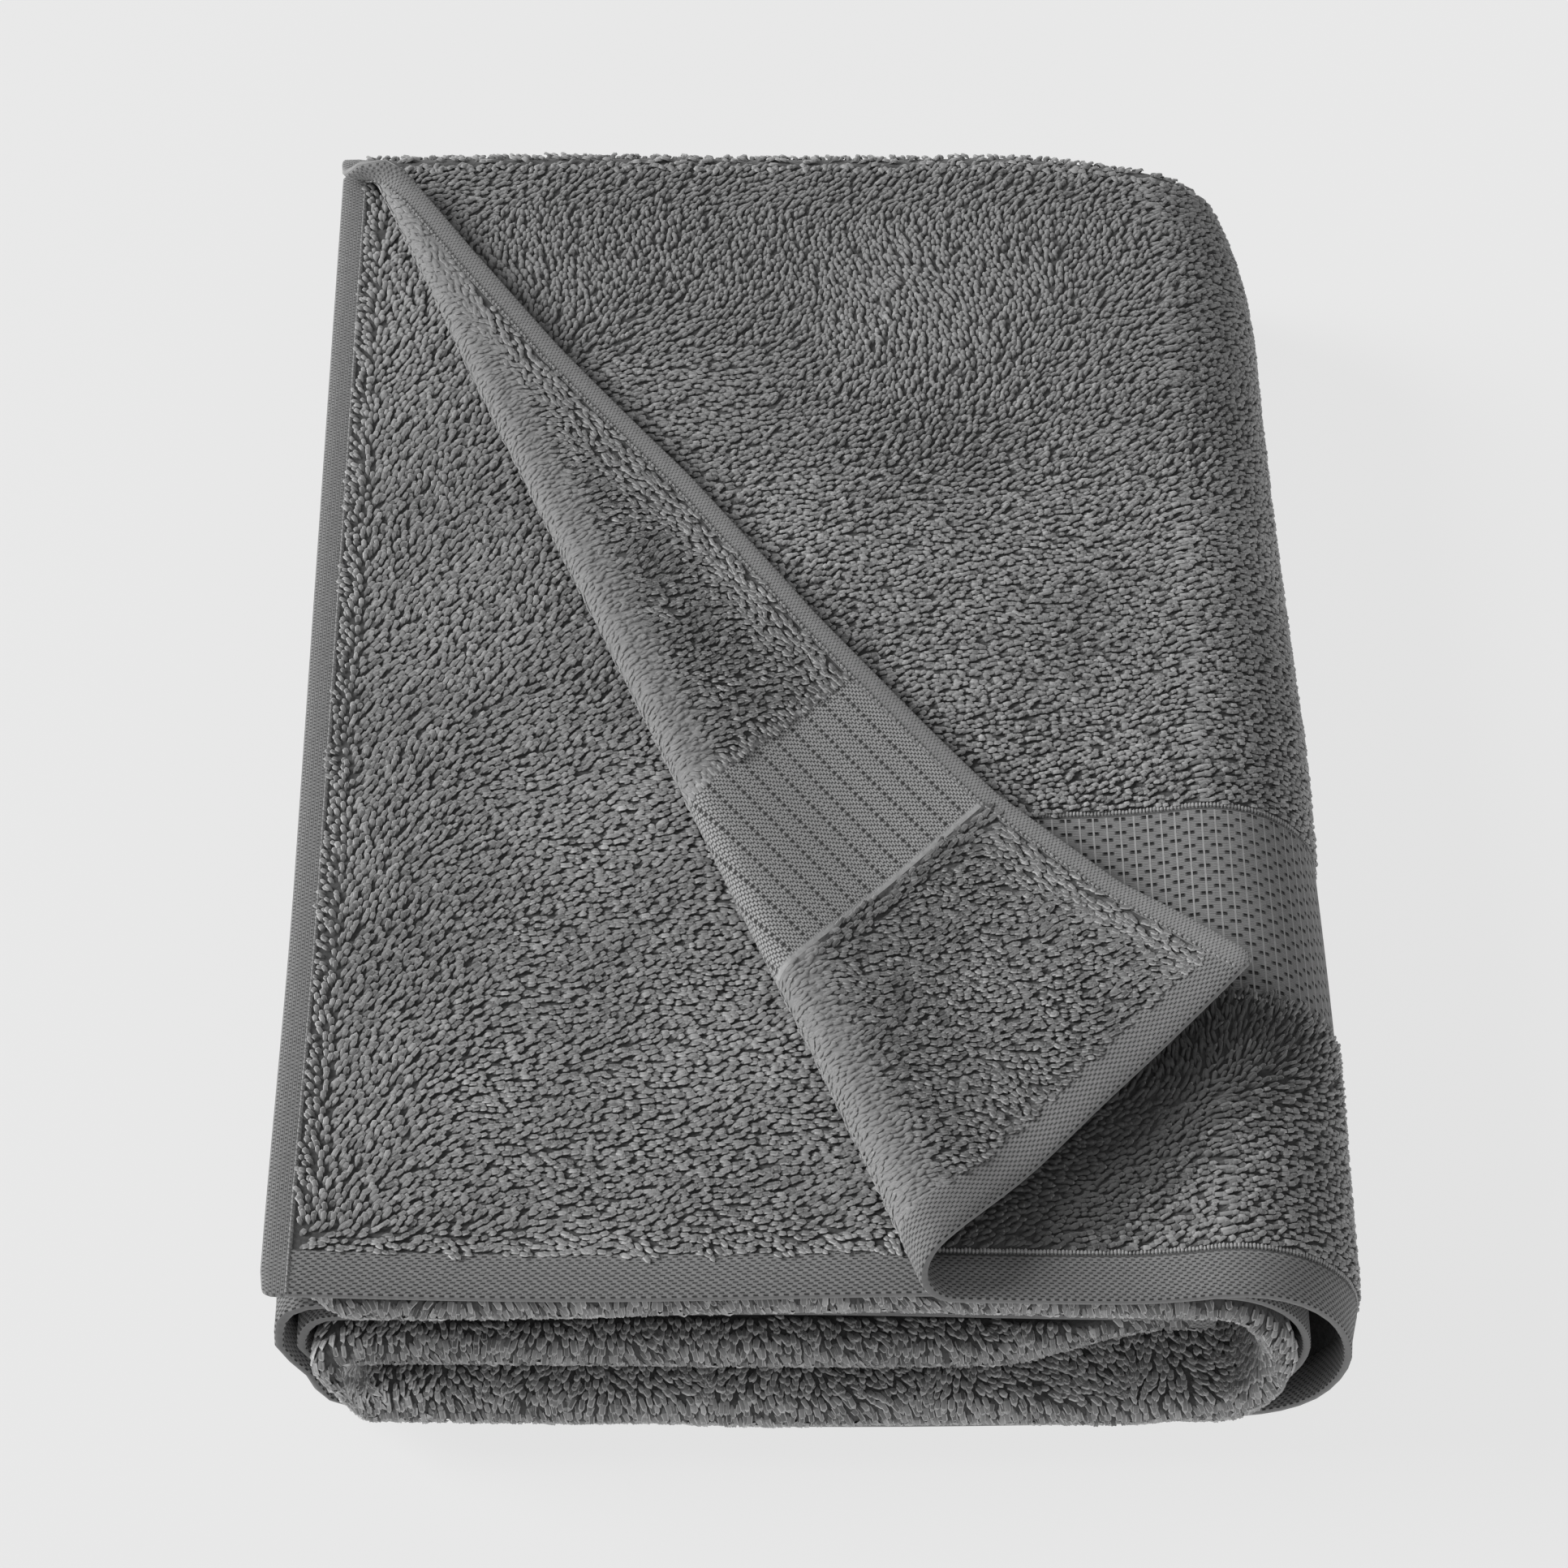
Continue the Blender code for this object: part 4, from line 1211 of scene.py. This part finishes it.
class Weave:
    """Keeps a material's nodes at hand while a pattern is drawn. Its clouds are the uneven dye and
    wear: a noise's scale, and the lowest and highest factor on the tone. Depth is the bump's, in mm."""

    def __init__(self, name, tone, roughness, clouds, depth):
        self.tone, self.depth = tone, depth * MM
        self.material = plain_material(name, (tone, tone, tone, 1.0), roughness, CLOTH_SHINE)
        self.nodes, self.links = self.material.node_tree.nodes, self.material.node_tree.links
        self.flat = self.node("UVMap", {}, "UV", uv_map="flat_cloth")
        self.across = self.node("SeparateXYZ", {"Vector": self.flat}, "X")
        self.along = self.across.node.outputs["Y"]
        scale, low, high = clouds
        noise = {"Scale": scale, "Detail": NOISE_DETAIL, "Vector": self.flat}
        spread = {"From Min": NOISE_LOW, "From Max": NOISE_HIGH, "To Min": low, "To Max": high}
        spread["Value"] = self.node("TexNoise", noise, "Fac")
        self.clouds = self.node("MapRange", spread, "Result")

    def node(self, kind, inputs, output, **settings):
        """Adds a node, feeds each input with a number or with another node's output, and gives
        the named output."""
        node = self.nodes.new("ShaderNode" + kind)
        for setting, value in settings.items():
            setattr(node, setting, value)
        for socket, value in inputs.items():
            if isinstance(value, (int, float)):
                node.inputs[socket].default_value = value
            else:
                self.links.new(value, node.inputs[socket])
        return node.outputs[output]

    def math(self, operation, *values):
        return self.node("Math", dict(enumerate(values)), "Value", operation=operation)

    def times(self, first, second):
        return self.math("MULTIPLY", first, second)

    def less(self, value):
        """What is left of 1."""
        return self.math("SUBTRACT", 1.0, value)

    def rise(self, value, low, high):
        """Rises softly from 0 at low to 1 at high."""
        inputs = {"Value": value, "From Min": low, "From Max": high}
        return self.node("MapRange", inputs, "Result", interpolation_type="SMOOTHSTEP")

    def from_middle(self, value, pitch, shift=0.0):
        """Distance from the middle of each repeat: 0 in the middle and 0.5 at its ends."""
        repeat = self.math("FRACT", self.math("ADD", self.math("DIVIDE", value, pitch), shift))
        return self.math("ABSOLUTE", self.math("SUBTRACT", repeat, 0.5))

    def dashes(self, way, rows_along, pitch, row_pitch, step, size, chance=0.0):
        """1 on dark dashes in rows, 0 between them. Each row is moved on by a step, and by chance.
        Step, chance and the dash's half length and half width are shares of the pitches."""
        row = self.math("FLOOR", self.math("DIVIDE", rows_along, row_pitch))
        shift = self.times(row, step)
        if chance:
            drawn = self.node("TexWhiteNoise", {"W": row}, "Value", noise_dimensions="1D")
            shift = self.math("ADD", shift, self.times(drawn, chance))
        at = self.from_middle(way, pitch, shift)
        off_row = self.from_middle(rows_along, row_pitch)
        on_dash = self.less(self.rise(at, size[0] * 0.5, size[0]))
        return self.times(on_dash, self.less(self.rise(off_row, size[1] * 0.5, size[1])))

    def grooves(self, value, pitch, start, depth):
        """Dark lines between the rows of threads."""
        return self.times(self.rise(self.from_middle(value, pitch), start, 0.5), depth)

    def paint(self, shade, relief):
        """Uses a shade of the tone as the colour, and a relief as bump."""
        grey = self.times(shade, self.tone)
        colour = self.node("CombineColor", dict.fromkeys(("Red", "Green", "Blue"), grey), "Color")
        bump = self.node("Bump", {"Distance": self.depth, "Height": relief}, "Normal")
        shader = self.nodes["Principled BSDF"]
        self.links.new(colour, shader.inputs["Base Color"])
        self.links.new(bump, shader.inputs["Normal"])
        return self.material

    def woven(self, relief, dark, light):
        """Paints a relief: dark where it is 0, and lighter by light where it is 1."""
        shade = self.math("MULTIPLY_ADD", self.math("MAXIMUM", relief, 0.0), light, dark)
        return self.paint(self.times(shade, self.clouds), relief)


print("the weaves are drawn from the UV map", ground.data.uv_layers[0].name)

# %% Hems
SATIN_FLOAT, SATIN_ROW = mm(1.9, 0.68)
SATIN_DASH, PLAIN_SPECK = (0.33, 0.31), (0.24, 0.34)
PLAIN_FLOAT, PLAIN_COLUMN = mm(1.05, 0.78)


def satin_hem():
    """End hem: floats of 1.9 mm along the hem in fine rows, with a dark dash at each dip."""
    weave = Weave("end_hem_satin", tone=0.163, roughness=0.85, clouds=(900, 0.9, 1.1), depth=0.25)
    dash = weave.dashes(weave.across, weave.along, SATIN_FLOAT, SATIN_ROW, 0.40, SATIN_DASH, 0.1)
    lines = weave.grooves(weave.along, SATIN_ROW, 0.25, 0.3)
    return weave.woven(weave.less(weave.math("MAXIMUM", dash, lines)), dark=0.19, light=0.96)


def plain_hem():
    """Side hem: columns 0.78 mm apart, with soft grooves between them and small dark specks."""
    weave = Weave("side_hem_plain", tone=0.185, roughness=0.9, clouds=(700, 0.9, 1.1), depth=0.2)
    speck = weave.dashes(weave.along, weave.across, PLAIN_FLOAT, PLAIN_COLUMN, 0.5, PLAIN_SPECK, 0.4)
    lines = weave.grooves(weave.across, PLAIN_COLUMN, 0.34, 0.45)
    return weave.woven(weave.less(weave.math("MAXIMUM", speck, lines)), dark=0.42, light=0.68)


hem_satin, hem_plain = satin_hem(), plain_hem()
print("hem materials:", hem_satin.name, hem_plain.name)

# %% [markdown]
# ### The border
#
# On its face a light thread runs along the cloth every 3.2 mm, and bundles of short threads lie
# across between them. Every 4 mm, staggered like bricks, the bundle is pinched, which leaves a dark
# wedge beside the thread. The reverse shows the same threads as a fine crepe in columns of 0.6 mm,
# and after every ninth column comes a line of small holes. Right at its ends the crepe is fuzzed
# over by the loops beside it.

# %% Border materials
THREAD_PITCH, PINCH_PITCH, COLUMN, CREPE_FLOAT, HOLE_PITCH = mm(3.2, 4.0, 0.60, 1.6, 2.0)
COLUMNS_A_HOLE = 9
PINCH, DIP, HOLE = (0.15, 0.52), (0.18, 0.60), (0.33, 0.12)
PINCH_DARK, DIP_DARK, HOLE_DARK = 0.9, 0.88, 0.94
THREAD_EDGE, WEDGE_EDGE, BUNDLE_HEIGHT = (0.06, 0.11), (0.06, 0.10), 0.74
FUZZY_ENDS = mm(1.0, 2.4)


def border_cells():
    """Face of the border."""
    weave = Weave("border_cells", tone=0.205, roughness=0.88, clouds=(800, 0.9, 1.1), depth=0.45)
    from_thread = weave.from_middle(weave.across, THREAD_PITCH)
    thread = weave.less(weave.rise(from_thread, *THREAD_EDGE))
    pinch = weave.dashes(weave.along, weave.across, PINCH_PITCH, THREAD_PITCH, 0.5, PINCH)
    wedge = weave.times(pinch, weave.rise(from_thread, *WEDGE_EDGE))
    strands = weave.grooves(weave.along, PINCH_PITCH / 8, 0.2, 0.3)
    raised = weave.math("MAXIMUM", thread, weave.math("SUBTRACT", BUNDLE_HEIGHT, strands))
    relief = weave.math("SUBTRACT", raised, weave.times(wedge, PINCH_DARK))
    return weave.woven(relief, dark=0.02, light=1.2)


def border_crepe():
    """Reverse of the border."""
    weave = Weave("border_crepe", tone=0.215, roughness=0.9, clouds=(900, 0.88, 1.12), depth=0.25)
    dip = weave.dashes(weave.along, weave.across, CREPE_FLOAT, COLUMN, 0.37, DIP, 0.25)
    hole = weave.dashes(weave.along, weave.across, HOLE_PITCH, COLUMNS_A_HOLE * COLUMN, 0.5, HOLE)
    lines = weave.grooves(weave.across, COLUMN, 0.25, 0.62)
    dark = weave.math("MAXIMUM", weave.times(dip, DIP_DARK), lines)
    dark = weave.math("MAXIMUM", dark, weave.times(hole, HOLE_DARK))
    from_start = weave.math("SUBTRACT", weave.along, BORDER_START)
    from_end = weave.math("SUBTRACT", BORDER_END, weave.along)
    bare = weave.rise(weave.math("MINIMUM", from_start, from_end), *FUZZY_ENDS)
    return weave.woven(weave.less(weave.times(dark, bare)), dark=0.04, light=1.29)


border_face, border_reverse = border_cells(), border_crepe()
print("border materials:", border_face.name, border_reverse.name)

# %% Terry ground
# Ground seen between loops is painted dark, a painted shade of the deep pile, and uneven at the size of a
# loop
terry = Weave("terry_ground", tone=0.06, roughness=1.0, clouds=(600, 0.8, 1.2), depth=0.5)
terry_ground = terry.paint(terry.clouds, terry.clouds)
# On the flap's roll the pile is combed flat, and the ground there is painted less dark, as less shade falls
# between the flattened loops
roll = Weave("roll_ground", tone=0.19, roughness=1.0, clouds=(600, 0.85, 1.1), depth=0.5)
roll_ground = roll.paint(roll.clouds, roll.clouds)
outside = [terry_ground, hem_satin, border_face, hem_plain, terry_ground]
reverse = [terry_ground, hem_satin, border_reverse, hem_plain, roll_ground]
for slot, material in enumerate(outside + reverse):
    ground.data.materials[slot] = material
print("the ground sheet has", len(ground.data.materials), "slots for its materials")

# %% Attach the pieces and hide the imported solid
for piece in [ground] + piles:
    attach(piece, "root")
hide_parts("towel")
visual_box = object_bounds()
print_box("the visual model", visual_box)
